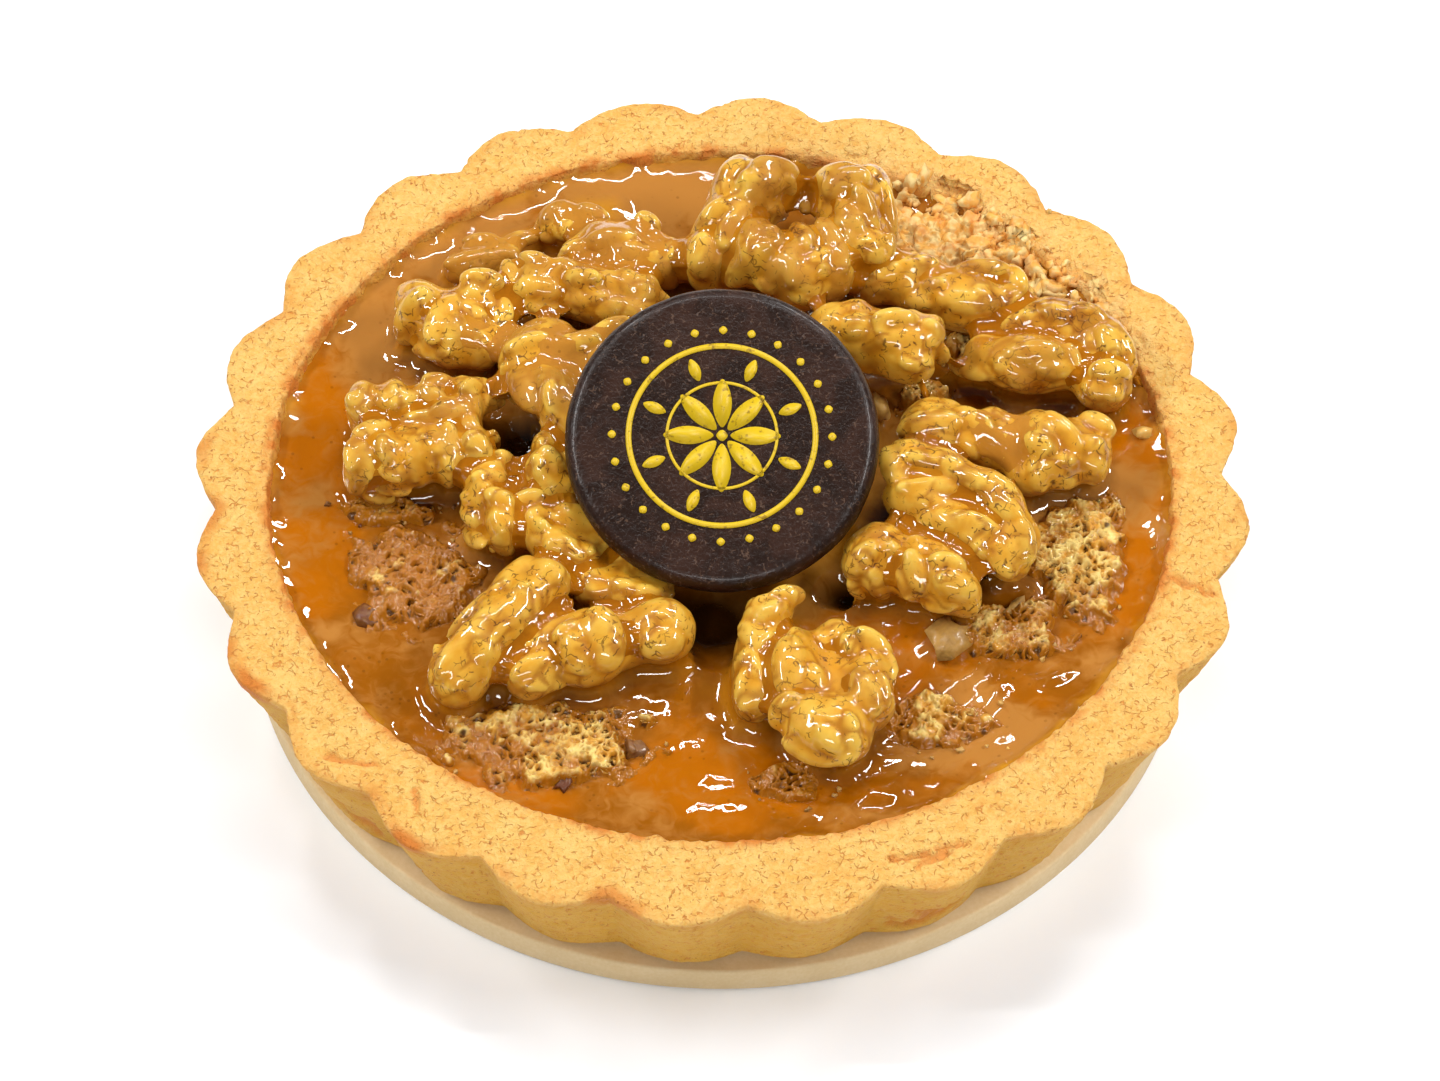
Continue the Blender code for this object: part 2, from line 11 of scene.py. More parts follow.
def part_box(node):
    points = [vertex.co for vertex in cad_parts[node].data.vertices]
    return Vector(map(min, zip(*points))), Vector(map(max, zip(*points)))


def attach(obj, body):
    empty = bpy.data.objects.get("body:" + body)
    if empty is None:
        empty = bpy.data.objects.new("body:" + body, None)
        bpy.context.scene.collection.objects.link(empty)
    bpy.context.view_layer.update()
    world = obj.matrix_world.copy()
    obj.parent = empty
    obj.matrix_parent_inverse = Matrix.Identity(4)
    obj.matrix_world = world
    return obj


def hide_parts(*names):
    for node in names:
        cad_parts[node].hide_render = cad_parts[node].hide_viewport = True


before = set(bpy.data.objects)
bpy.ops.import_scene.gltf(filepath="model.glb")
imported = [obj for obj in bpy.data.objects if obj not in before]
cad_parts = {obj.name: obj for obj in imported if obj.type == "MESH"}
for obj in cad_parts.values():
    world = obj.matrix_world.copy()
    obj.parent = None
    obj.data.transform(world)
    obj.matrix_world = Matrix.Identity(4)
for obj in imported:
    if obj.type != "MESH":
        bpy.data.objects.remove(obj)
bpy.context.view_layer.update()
mm = 0.001
lightOnTop = 1.3  # the studio light that falls on a level surface, 1 being a white that just clips


def paint(red, green, blue):  # a colour as it should look in that light, 0 to 255, made linear
    return tuple((((c / 255 + 0.055) / 1.055) ** 2.4 if c > 10 else c / 3294.6) / lightOnTop
                 for c in (red, green, blue)) + (1.0,)


def clearSelection():
    if bpy.context.object and bpy.context.object.mode != "OBJECT":
        bpy.ops.object.mode_set(mode="OBJECT")
    bpy.ops.object.select_all(action="DESELECT")


def pickOnly(obj):
    clearSelection()
    bpy.context.view_layer.objects.active = obj
    obj.select_set(True)


def pointsOf(obj):
    flat = np.empty(len(obj.data.vertices) * 3, np.float32)
    obj.data.vertices.foreach_get("co", flat)
    return flat.reshape(-1, 3).astype(float)


def normalsOf(obj):
    flat = np.empty(len(obj.data.vertices) * 3, np.float32)
    obj.data.vertex_normals.foreach_get("vector", flat)
    return flat.reshape(-1, 3).astype(float)


def surfaceOf(obj):  # for finding where a ray meets the piece
    return BVHTree.FromPolygons([v.co for v in obj.data.vertices], [p.vertices for p in obj.data.polygons])


def addObject(name, data):
    obj = bpy.data.objects.new(name, data)
    bpy.context.scene.collection.objects.link(obj)
    return obj


def joinInto(obj, others):
    pickOnly(obj)
    for other in others:
        other.select_set(True)
    bpy.ops.object.join()


def setPoints(obj, points):
    obj.data.vertices.foreach_set("co", np.asarray(points, np.float32).ravel())
    obj.data.update()


def moveOut(obj, distance):
    setPoints(obj, pointsOf(obj) + normalsOf(obj) * distance)


def setValues(obj, name, values):  # one number for each point, which the material reads
    attribute = obj.data.attributes.new(name, "FLOAT", "POINT")
    attribute.data.foreach_set("value", np.asarray(values, np.float32))


def useModifier(obj, kind, **settings):
    modifier = obj.modifiers.new(kind.lower(), kind)
    for setting, value in settings.items():
        setattr(modifier, setting, value)
    pickOnly(obj)
    bpy.ops.object.modifier_apply(modifier=modifier.name)


def remesh(obj, voxel):
    useModifier(obj, "REMESH", mode="VOXEL", voxel_size=voxel)


def smooth(obj, passes):
    useModifier(obj, "SMOOTH", factor=0.5, iterations=passes)


def weld(obj, distance):  # merges doubles and turns every face outwards
    pickOnly(obj)
    bpy.ops.object.mode_set(mode="EDIT")
    bpy.ops.mesh.select_all(action="SELECT")
    bpy.ops.mesh.remove_doubles(threshold=distance)
    bpy.ops.mesh.normals_make_consistent(inside=False)
    bpy.ops.object.mode_set(mode="OBJECT")


def softNoise(points, size, octaves=1, seed=0.0):  # -1 to 1, lumps of about that size
    shift = Vector((seed, 1.7 * seed, 0.3 * seed))
    fading, finer = 0.9, 2.1  # how fast the finer lumps fade, and how much finer each round is
    if octaves == 1:
        return np.array([noise.noise(Vector(p) / size + shift) for p in points])
    return np.array([noise.fractal(Vector(p) / size + shift, fading, finer, octaves) for p in points])


def pushed(points, reach, size, seeds):  # the points, pushed about by lumps of that size
    return points + reach * np.stack([softNoise(points, size, 1, seed) for seed in seeds], axis=1)


def cells(points, size, seed):  # distance to the nearest and second nearest cell centre
    shift = Vector((seed, -seed, 2 * seed))
    found = [noise.voronoi(Vector(p) / size + shift)[0] for p in points]
    return np.array([f[0] for f in found]), np.array([f[1] for f in found])


def chunks(points, size, seed):  # a height for each cell, -1 to 1, and the distance to its edge
    shift = Vector((seed, -seed, 2 * seed))
    found = [noise.voronoi(Vector(p) / size + shift) for p in points]
    heights = np.array([noise.noise(centres[0] * 3.7) for _, centres in found])
    return np.clip(heights * 2, -1, 1), np.array([away[1] - away[0] for away, _ in found])


def eased(values, low, high):  # 0 below low, 1 above high, smooth between
    share = np.clip((values - low) / (high - low), 0, 1)
    return share * share * (3 - 2 * share)


def inPatches(x, y, patches, edge):  # 1 inside one of these ovals, 0 outside, over an edge of that width
    inside = np.zeros(len(x))
    for cx, cy, halfX, halfY in patches:
        away = np.hypot((x / mm - cx) / halfX, (y / mm - cy) / halfY)
        inside = np.maximum(inside, np.clip((1 + edge / 2 - away) / edge, 0, 1))
    return inside


# a flat grid rolled up round the Z axis: place says where each turn and share lies
def rolledPiece(name, around, along, place):
    clearSelection()
    bpy.ops.mesh.primitive_grid_add(x_subdivisions=around, y_subdivisions=along, size=1)
    obj = bpy.context.object
    obj.name = obj.data.name = name
    flat = pointsOf(obj)
    setPoints(obj, np.stack(place((flat[:, 0] + 0.5) * 2 * math.pi, flat[:, 1] + 0.5), axis=1))
    weld(obj, 0.01 * mm)
    return obj


def finishPiece(obj, material, slot, *nodes):
    obj.data.materials.clear()
    obj.data.materials.append(material)
    pickOnly(obj)
    bpy.ops.object.shade_smooth()
    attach(obj, "root")
    if nodes:
        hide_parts(*nodes)


class Wire:  # a shader socket that can stand in a sum, with plain numbers on either side
    def __init__(self, socket):
        self.socket = socket
        self.tree = socket.id_data

    def node(self, kind, settings=None, values=None, output=0):
        made = self.tree.nodes.new(kind)
        for name, value in (settings or {}).items():
            setattr(made, name, value)
        for name, value in (values or {}).items():
            if isinstance(value, Wire):
                self.tree.links.new(value.socket, made.inputs[name])
            else:
                made.inputs[name].default_value = value
        return Wire(made.outputs[output])

    def math(self, operation, first, second=0.0):
        return self.node("ShaderNodeMath", {"operation": operation}, {0: first, 1: second})

    def __add__(self, other):
        return self.math("ADD", self, other)

    def __mul__(self, other):
        return self.math("MULTIPLY", self, other)

    def __sub__(self, other):
        return self.math("SUBTRACT", self, other)

    def __rsub__(self, other):
        return self.math("SUBTRACT", other, self)

    __radd__ = __add__
    __rmul__ = __mul__

    def most(self, other):
        return self.math("MAXIMUM", self, other)

    def between(self, low, high):  # 0 below low, 1 above high
        return self.node("ShaderNodeMapRange", {"interpolation_type": "SMOOTHSTEP"},
                         {"Value": self, "From Min": low, "From Max": high})

    def mix(self, first, second):  # this wire is the share of the second colour
        return self.node("ShaderNodeMix", {"data_type": "RGBA"}, {0: self, 6: first, 7: second}, 2)

    def grain(self, size, detail=2.0, warp=0.0):  # this wire is the place that the noise reads
        return self.node("ShaderNodeTexNoise", None,
                         {"Vector": self, "Scale": 1 / size, "Detail": detail, "Distortion": warp})

    def cracks(self, size):  # distance to the edge of the nearest cell
        return self.node("ShaderNodeTexVoronoi", {"feature": "DISTANCE_TO_EDGE"},
                         {"Vector": self, "Scale": 1 / size})

    def spots(self, size):  # distance to the nearest of many scattered spots
        return self.node("ShaderNodeTexVoronoi", None, {"Vector": self, "Scale": 1 / size})

    def areas(self, size, low, high, detail=2):  # 1 in the lumps of a noise
        return self.grain(size, detail).between(low, high)

    def seams(self, size, low, high):  # 1 on the edges between cells
        return 1 - self.cracks(size).between(low, high)

    def dots(self, size, low, high):  # 1 on scattered spots
        return 1 - self.spots(size).between(low, high)

    def warped(self, size, reach):  # the place, pushed about by lumps of that size
        push = self.node("ShaderNodeTexNoise", None, {"Vector": self, "Scale": 1 / size, "Detail": 1.0}, 1)
        return self.node("ShaderNodeVectorMath", {"operation": "MULTIPLY_ADD"},
                         {0: push, 1: (reach, reach, reach), 2: self})

    def stored(self, name):  # a value stored on the mesh
        return self.node("ShaderNodeAttribute", {"attribute_name": name}, None, "Fac")


def newMaterial(name, settings):
    material = bpy.data.materials.new(name)
    material.use_nodes = True
    skin = material.node_tree.nodes["Principled BSDF"]
    for socket, value in settings.items():
        skin.inputs[socket].default_value = value
    coordinates = material.node_tree.nodes.new("ShaderNodeTexCoord")
    return material, skin, Wire(coordinates.outputs["Object"])


def feed(skin, socket, wire):
    skin.id_data.links.new(wire.socket, skin.inputs[socket])


def feedBump(skin, height, strength, distance):
    bump = height.node("ShaderNodeBump", None,
                       {"Height": height, "Strength": strength, "Distance": distance})
    feed(skin, "Normal", bump)


# the card under the tart
card = {
    "sides": 256,
    "edge": 0.35 * mm,
    "fibre": 0.5 * mm,
    "mottle": 5 * mm,
    "bump": (0.25, 0.15 * mm),  # strength and height, as for the other pieces
    "beige": paint(252, 226, 180),
    "shade": paint(240, 210, 158),
}


def makeCard():
    low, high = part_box("card_disc")
    clearSelection()
    bpy.ops.mesh.primitive_cylinder_add(vertices=card["sides"], radius=(high.x - low.x) / 2,
                                        depth=high.z - low.z, end_fill_type="NGON",
                                        location=(0, 0, (low.z + high.z) / 2))
    obj = bpy.context.object
    obj.name = obj.data.name = "cardBoard"
    bpy.ops.object.transform_apply(location=True, rotation=True, scale=True)
    useModifier(obj, "BEVEL", width=card["edge"], segments=2, limit_method="ANGLE")
    material, skin, place = newMaterial("beigeBoard", {"Roughness": 0.82, "Specular IOR Level": 0.3})
    fibres = place.grain(card["fibre"], 4)
    tone = place.grain(card["mottle"], 3) * 0.6 + fibres * 0.6
    feed(skin, "Base Color", tone.between(0.3, 0.95).mix(card["shade"], card["beige"]))
    feedBump(skin, fibres, *card["bump"])
    finishPiece(obj, material, "card", "card_disc")
    print("card made")


# the fluted crust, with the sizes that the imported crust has
crust = {
    "around": 900,
    "along": 84,
    "bottom": 4.5 * mm,
    "top": 24.0 * mm,
    "flutes": 24,
    "firstPeak": math.radians(10.9),
    "rimPeak": 70.0 * mm,
    "rimValley": 66.7 * mm,
    "footPeak": 62.9 * mm,
    "footValley": 61.0 * mm,
    "footEdge": 0.7 * mm,
    "lobePower": 0.56,  # below 1 gives wide lobes and narrow valleys
    "holeCentreY": 1.5 * mm,
    "holeX": 60.0 * mm,
    "holeY": 58.2 * mm,
    "draft": 2.6 * mm,
    "wallMiddle": 17 * mm,  # a height half way down the inner wall
    "floor": 9.2 * mm,
    "rounding": 0.45 * mm,
    # low relief all over: heights and sizes
    "swell": 0.28 * mm,
    "swellSizes": (7 * mm, 3 * mm),
    "grain": 0.19 * mm,
    "grainSize": 1.9 * mm,
    "pits": 0.26 * mm,
    "pitSize": 1.3 * mm,
    "pitAreas": 4 * mm,
    "wallRough": 0.3 * mm,  # on the inner wall
    "wallRoughSize": 1.7 * mm,
    # where the inner edge has crumbled away into chunks
    "brokenAngle": math.radians(50),
    "brokenSpread": math.radians(32),
    "brokenDepth": 3.0 * mm,
    "brokenSink": 0.15,  # how far its top sinks, as a share of that depth
    "chunkSize": 2.3 * mm,
    "chunkHeight": 1.1 * mm,
    "chunkBend": (0.5 * mm, 1.6 * mm),  # how far the seams wander, and over what size
    "chunkRough": 0.35 * mm,
    "chunkRoughSize": 2.4 * mm,
    "seamDepth": 0.8 * mm,
    # cracks in the rim: from angle and radius to angle and radius (degrees, mm), depth (mm)
    "cracks": ((-13.5, 60.5, -14.0, 67.0, 0.5), (-138.5, 67.0, -134.0, 63.0, 0.45),
               (-69.5, 63.0, -63.0, 65.5, 0.8), (-64.0, 64.0, -61.0, 64.8, 0.7),
               (-67.0, 65.6, -62.5, 64.6, 0.5), (-128.0, 62.5, -126.0, 65.0, 0.5)),
    "crackBend": (0.9 * mm, 2.2 * mm),  # how far they wander, and over what size
    "crackWidth": (0.1 * mm, 0.75 * mm),  # at its bottom and at its top
    "brownestAt": math.radians(-140),
    "bump": (1.0, 0.34 * mm),
    "golden": paint(253, 208, 118),
    "cream": paint(255, 228, 164),
    "deeper": paint(246, 184, 86),
    # the sides and inner wall below the rim's top, painted darker and deeper as painted shade
    "side": paint(228, 166, 30),
    "toasted": paint(224, 132, 42),
    "fleck": paint(176, 96, 28),
}


def outerRadius(turn, climb):
    wave = (0.5 + 0.5 * np.cos(crust["flutes"] * (turn - crust["firstPeak"]))) ** crust["lobePower"]
    foot = crust["footValley"] + (crust["footPeak"] - crust["footValley"]) * wave
    rim = crust["rimValley"] + (crust["rimPeak"] - crust["rimValley"]) * wave
    return foot + (rim - foot) * climb


def holeShare(x, y):  # 1 at the inner edge of the crust, less inside it
    return np.hypot(x / crust["holeX"], (y - crust["holeCentreY"]) / crust["holeY"])


def broken(turn):  # how far the inner edge has crumbled away
    apart = np.abs((turn - crust["brokenAngle"] + math.pi) % (2 * math.pi) - math.pi)
    share = np.sqrt(np.clip(1 - apart / crust["brokenSpread"], 0, 1))
    ragged = 0.55 + 0.45 * np.sin(23 * turn) * np.cos(9 * turn)
    return crust["brokenDepth"] * share * ragged


# stations up the outside, over the rim with its two rounded edges, and down the inner wall
def crustPlace(turn, share):
    at = (0.0, 0.012, 0.03, 0.46, 0.475, 0.49, 0.505, 0.52, 0.80, 0.815, 0.83, 0.845, 0.95, 0.985, 1.0)
    bend = crust["rounding"]
    arc = [bend, 0.62 * bend, 0.29 * bend, 0.08 * bend]  # a quarter circle's distance from its corner
    drop = np.interp(share, at, (0, 0, 0, *arc, 0, 0, *arc[:0:-1], 0, 0, 0))
    pulled = np.interp(share, at, (0, 0, 0, 0, *arc[::-1], *[-away for away in arc], 0, 0, 0))
    spread = np.interp(share, at, (0.0, 0.985) + (1.0,) * 12 + (0.0,))
    climb = np.interp(share, (0.03, 0.46), (0, 1))
    inward = np.interp(share, (0.50, 0.815), (0, 1))
    foot, top, floor = crust["bottom"] + crust["footEdge"], crust["top"], crust["floor"]
    height = np.interp(share, (0.012, 0.03, 0.46, 0.52, 0.845, 0.95, 0.985, 1.0),
                       (crust["bottom"], foot, top, top, top, crust["wallMiddle"], floor, floor))
    draft = crust["draft"] * np.interp(share, (0.845, 0.985), (0, 1))
    away = broken(turn) * np.interp(share, (0.72, 0.815, 0.845, 0.90), (0, 1, 0.5, 0))
    outside = share < 0.7
    outer = outerRadius(turn, climb) - np.where(outside, pulled, bend)
    inset = np.where(outside, -bend, pulled)
    innerX = (crust["holeX"] - draft + away - inset) * np.cos(turn)
    innerY = (crust["holeY"] - draft + away - inset) * np.sin(turn)
    x = (1 - inward) * outer * np.cos(turn) + inward * innerX
    y = (1 - inward) * outer * np.sin(turn) + inward * (innerY + crust["holeCentreY"])
    return x * spread, y * spread, height - drop - crust["brokenSink"] * away


def crackDepth(points):
    depth = np.zeros(len(points))
    reach, size = crust["crackBend"]
    wander = reach * softNoise(points, size, 2, 7.0)
    for fromAngle, fromRadius, toAngle, toRadius, deep in crust["cracks"]:
        ends = [Vector((r * mm * math.cos(math.radians(a)), r * mm * math.sin(math.radians(a))))
                for a, r in ((fromAngle, fromRadius), (toAngle, toRadius))]
        along = ends[1] - ends[0]
        offset = points[:, :2] - np.array(ends[0])
        share = np.clip(offset @ np.array(along) / along.length_squared, 0, 1)
        apart = offset - share[:, None] * np.array(along)
        side = (apart @ np.array((-along.y, along.x))) / along.length
        width = np.hypot(side + wander, np.linalg.norm(apart, axis=1) * (share % 1 == 0))
        depth = np.maximum(depth, deep * mm * (1 - eased(width, *crust["crackWidth"])))
    return depth


def makeCrust():
    obj = rolledPiece("crustShell", crust["around"], crust["along"], crustPlace)
    points, normals = pointsOf(obj), normalsOf(obj)
    height = points[:, 2]
    turn = np.arctan2(points[:, 1], points[:, 0])
    radius = np.hypot(points[:, 0], points[:, 1])
    fromRim = radius - outerRadius(turn, 1.0)
    hole = holeShare(points[:, 0], points[:, 1])
    shown = eased(height, 4.8 * mm, 6 * mm) * eased(radius, 50 * mm, 54 * mm)  # not below, nor on the floor

    broad, narrow = crust["swellSizes"]
    swell = softNoise(points, broad) + 0.5 * softNoise(points, narrow)
    grain = softNoise(points, crust["grainSize"], 3, 3.0)
    near, _ = cells(points, crust["pitSize"], 5.0)
    pits = (1 - eased(near, 0.12, 0.36)) * eased(softNoise(points, crust["pitAreas"], 1, 9.0), -0.2, 0.2)
    crumbled = broken(turn) / crust["brokenDepth"] * (1 - eased(hole, 1.03, 1.10)) * eased(hole, 0.93, 0.97)
    crumbled *= eased(height, 17 * mm, 19 * mm)
    crumbled *= 1 - eased(fromRim, -3.2 * mm, -1.4 * mm)
    rough = softNoise(points, crust["chunkRoughSize"], 3, 13.0)
    bent = pushed(points, *crust["chunkBend"], (33.0, 34.0, 35.0))
    chunk, seam = chunks(bent, crust["chunkSize"], 11.0)
    broke = crust["chunkHeight"] * chunk + crust["chunkRough"] * rough
    broke -= crust["seamDepth"] * (1 - eased(seam, 0.05, 0.30))
    onWall = crust["wallRough"] * softNoise(points, crust["wallRoughSize"], 3, 27.0)
    crack = crackDepth(points)
    lift = crust["swell"] * swell + crust["grain"] * grain - crust["pits"] * pits
    lift += crumbled * broke - crack + onWall * (1 - eased(hole, 1.01, 1.05))
    moved = points + normals * (lift * shown)[:, None]
    highest = crust["top"] + (0.35 + 0.6 * crumbled) * mm
    moved[:, 2] = np.minimum(moved[:, 2], highest)
    setPoints(obj, moved)

    edge = eased(fromRim, -2.6 * mm, -0.6 * mm) * eased(height, 20 * mm, 23 * mm)
    brownest = np.clip(np.cos(turn - crust["brownestAt"]), 0, 1) ** 3
    toast = edge * (0.15 + 0.85 * eased(softNoise(points, 9 * mm, 2, 21.0), -0.1, 0.5)) * (0.3 + brownest)
    atHole = (1 - eased(hole, 1.0, 1.035)) * eased(hole, 0.93, 0.97) * eased(height, 20 * mm, 22 * mm)
    toast += atHole * (1 - crumbled) * (0.30 + 0.7 * eased(softNoise(points, 3 * mm, 3, 23.0), -0.2, 0.4))
    setValues(obj, "toast", np.clip(toast, 0, 1))
    setValues(obj, "dent", np.clip(pits * 0.55 + crack / (0.4 * mm), 0, 1))
    setValues(obj, "crumbled", np.clip(crumbled * (0.6 + 0.6 * chunk), 0, 1))
    # painted shade in the seams between the crumbled chunks, given the toasted colour
    setValues(obj, "seam", crumbled * (1 - eased(seam, 0.03, 0.22)))
    setValues(obj, "rimTop", eased(height, 22.6 * mm, 23.8 * mm))
    finishPiece(obj, bakedPastry(), "crust", "crust")
    print("crust made")
    return obj


def bakedPastry():
    material, skin, place = newMaterial("bakedPastry", {
        "Roughness": 0.68, "Specular IOR Level": 0.35, "Subsurface Weight": 0.12,
        "Subsurface Radius": (1.0, 0.45, 0.15), "Subsurface Scale": 1.2 * mm})
    fine = place.grain(0.45 * mm, 4, 0.6)
    crumbs = place.grain(1.1 * mm, 3, 0.8)
    tone = place.grain(6 * mm, 4, 0.5) * 0.35 + fine * 0.4 + crumbs * 0.5
    colour = tone.between(0.48, 0.76).mix(crust["deeper"], crust["golden"])
    # below the rim's top the pastry is painted darker: painted shade on the sides
    colour = ((1 - place.stored("rimTop")) * 0.75).mix(colour, crust["side"])
    colour = place.stored("toast").mix(colour, crust["toasted"])
    colour = (place.stored("crumbled") * 0.6).mix(colour, crust["cream"])
    # painted shade in the seams between the chunks
    colour = (place.stored("seam") * 0.7).mix(colour, crust["toasted"])
    crumbly = place.warped(1.2 * mm, 1.2 * mm)
    dashes = crumbly.seams(1.3 * mm, 0.01, 0.07) * place.areas(0.9 * mm, 0.52, 0.60)
    colour = (place.stored("dent").most(dashes) * 0.75).mix(colour, crust["toasted"])
    flecks = crumbly.dots(1.2 * mm, 0.08, 0.18) * place.areas(4 * mm, 0.40, 0.55)
    feed(skin, "Base Color", (flecks * 0.8).mix(colour, crust["fleck"]))
    feedBump(skin, fine * 0.9 + crumbs - dashes * 0.35, *crust["bump"])
    return material


# walnut pieces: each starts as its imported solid, with plump lobes set into what the camera sees
walnuts = {
    "coreVoxel": 0.5 * mm,
    "coreShrink": 0.12 * mm,
    "corePasses": 5,
    "stands": 0.29,         # how far a lobe stands out of the solid, in half widths
    "flat": 0.72,           # how deep a lobe is for its width
    "voxel": 0.34 * mm,
    "smoothPasses": 5,
    "bulgePasses": 24,      # of the blur against which ridges and creases are found
    "dimple": 0.05 * mm,    # low uneven swelling, and its size
    "dimpleSize": 2.6 * mm,
    "groove": 0.05 * mm,    # shallow folds between the drawn ones
    "grooveSize": 3.4 * mm,
    "grooveAreas": 3.5 * mm,
    "grooveBend": (0.9 * mm, 2.2 * mm),  # how far they wander, and over what size
    "wrinkle": 0.01 * mm,
    "wrinkleSize": 1.1 * mm,
    "bump": (0.12, 0.30 * mm),
    "pale": paint(250, 203, 82),
    "gold": paint(230, 158, 32),
    "amber": paint(164, 88, 4),
    "skin": paint(78, 34, 6),
    "milk": paint(200, 134, 42),
    "film": 0.17,           # how much milky caramel lies on a piece, and on those that differ
    "films": {"walnut_disc_left_half": 0.4, "walnut_back_left_bar": 0.5, "walnut_back_left_knob": 0.6,
              "walnut_left_back_ridge": 0.7, "walnut_left_back_fold": 0.25, "walnut_right_pair": 0.1,
              "walnut_back_right_long": 0.3, "walnut_right_back_broad": 0.3,
              "walnut_back_left_lobe": 0.4, "walnut_back_right_lobe": 0.35,
              "walnut_back_front_lobe": 0.4, "walnut_left_back_cluster": 0.28,
              "walnut_left_half": 0.25, "walnut_right_fan": 0.08},
    # ovals (mm) where brown skin is left on
    "brownPlaces": ((9.0, 36.5, 5.0, 4.5), (8.5, 40.0, 4.0, 3.5), (40.0, 26.5, 5.0, 3.5),
                    (47.0, 27.0, 3.5, 5.0), (42.0, 12.0, 5.0, 4.0), (-9.5, 38.0, 3.0, 3.0),
                    (-19.5, 46.5, 3.5, 3.0), (-29.0, 8.0, 3.0, 4.0), (34.5, 33.0, 3.5, 2.5)),
    "shadedBelow": (22.5 * mm, 27 * mm),  # faces turned sideways or down get painted shade below the first height, none above the second
}

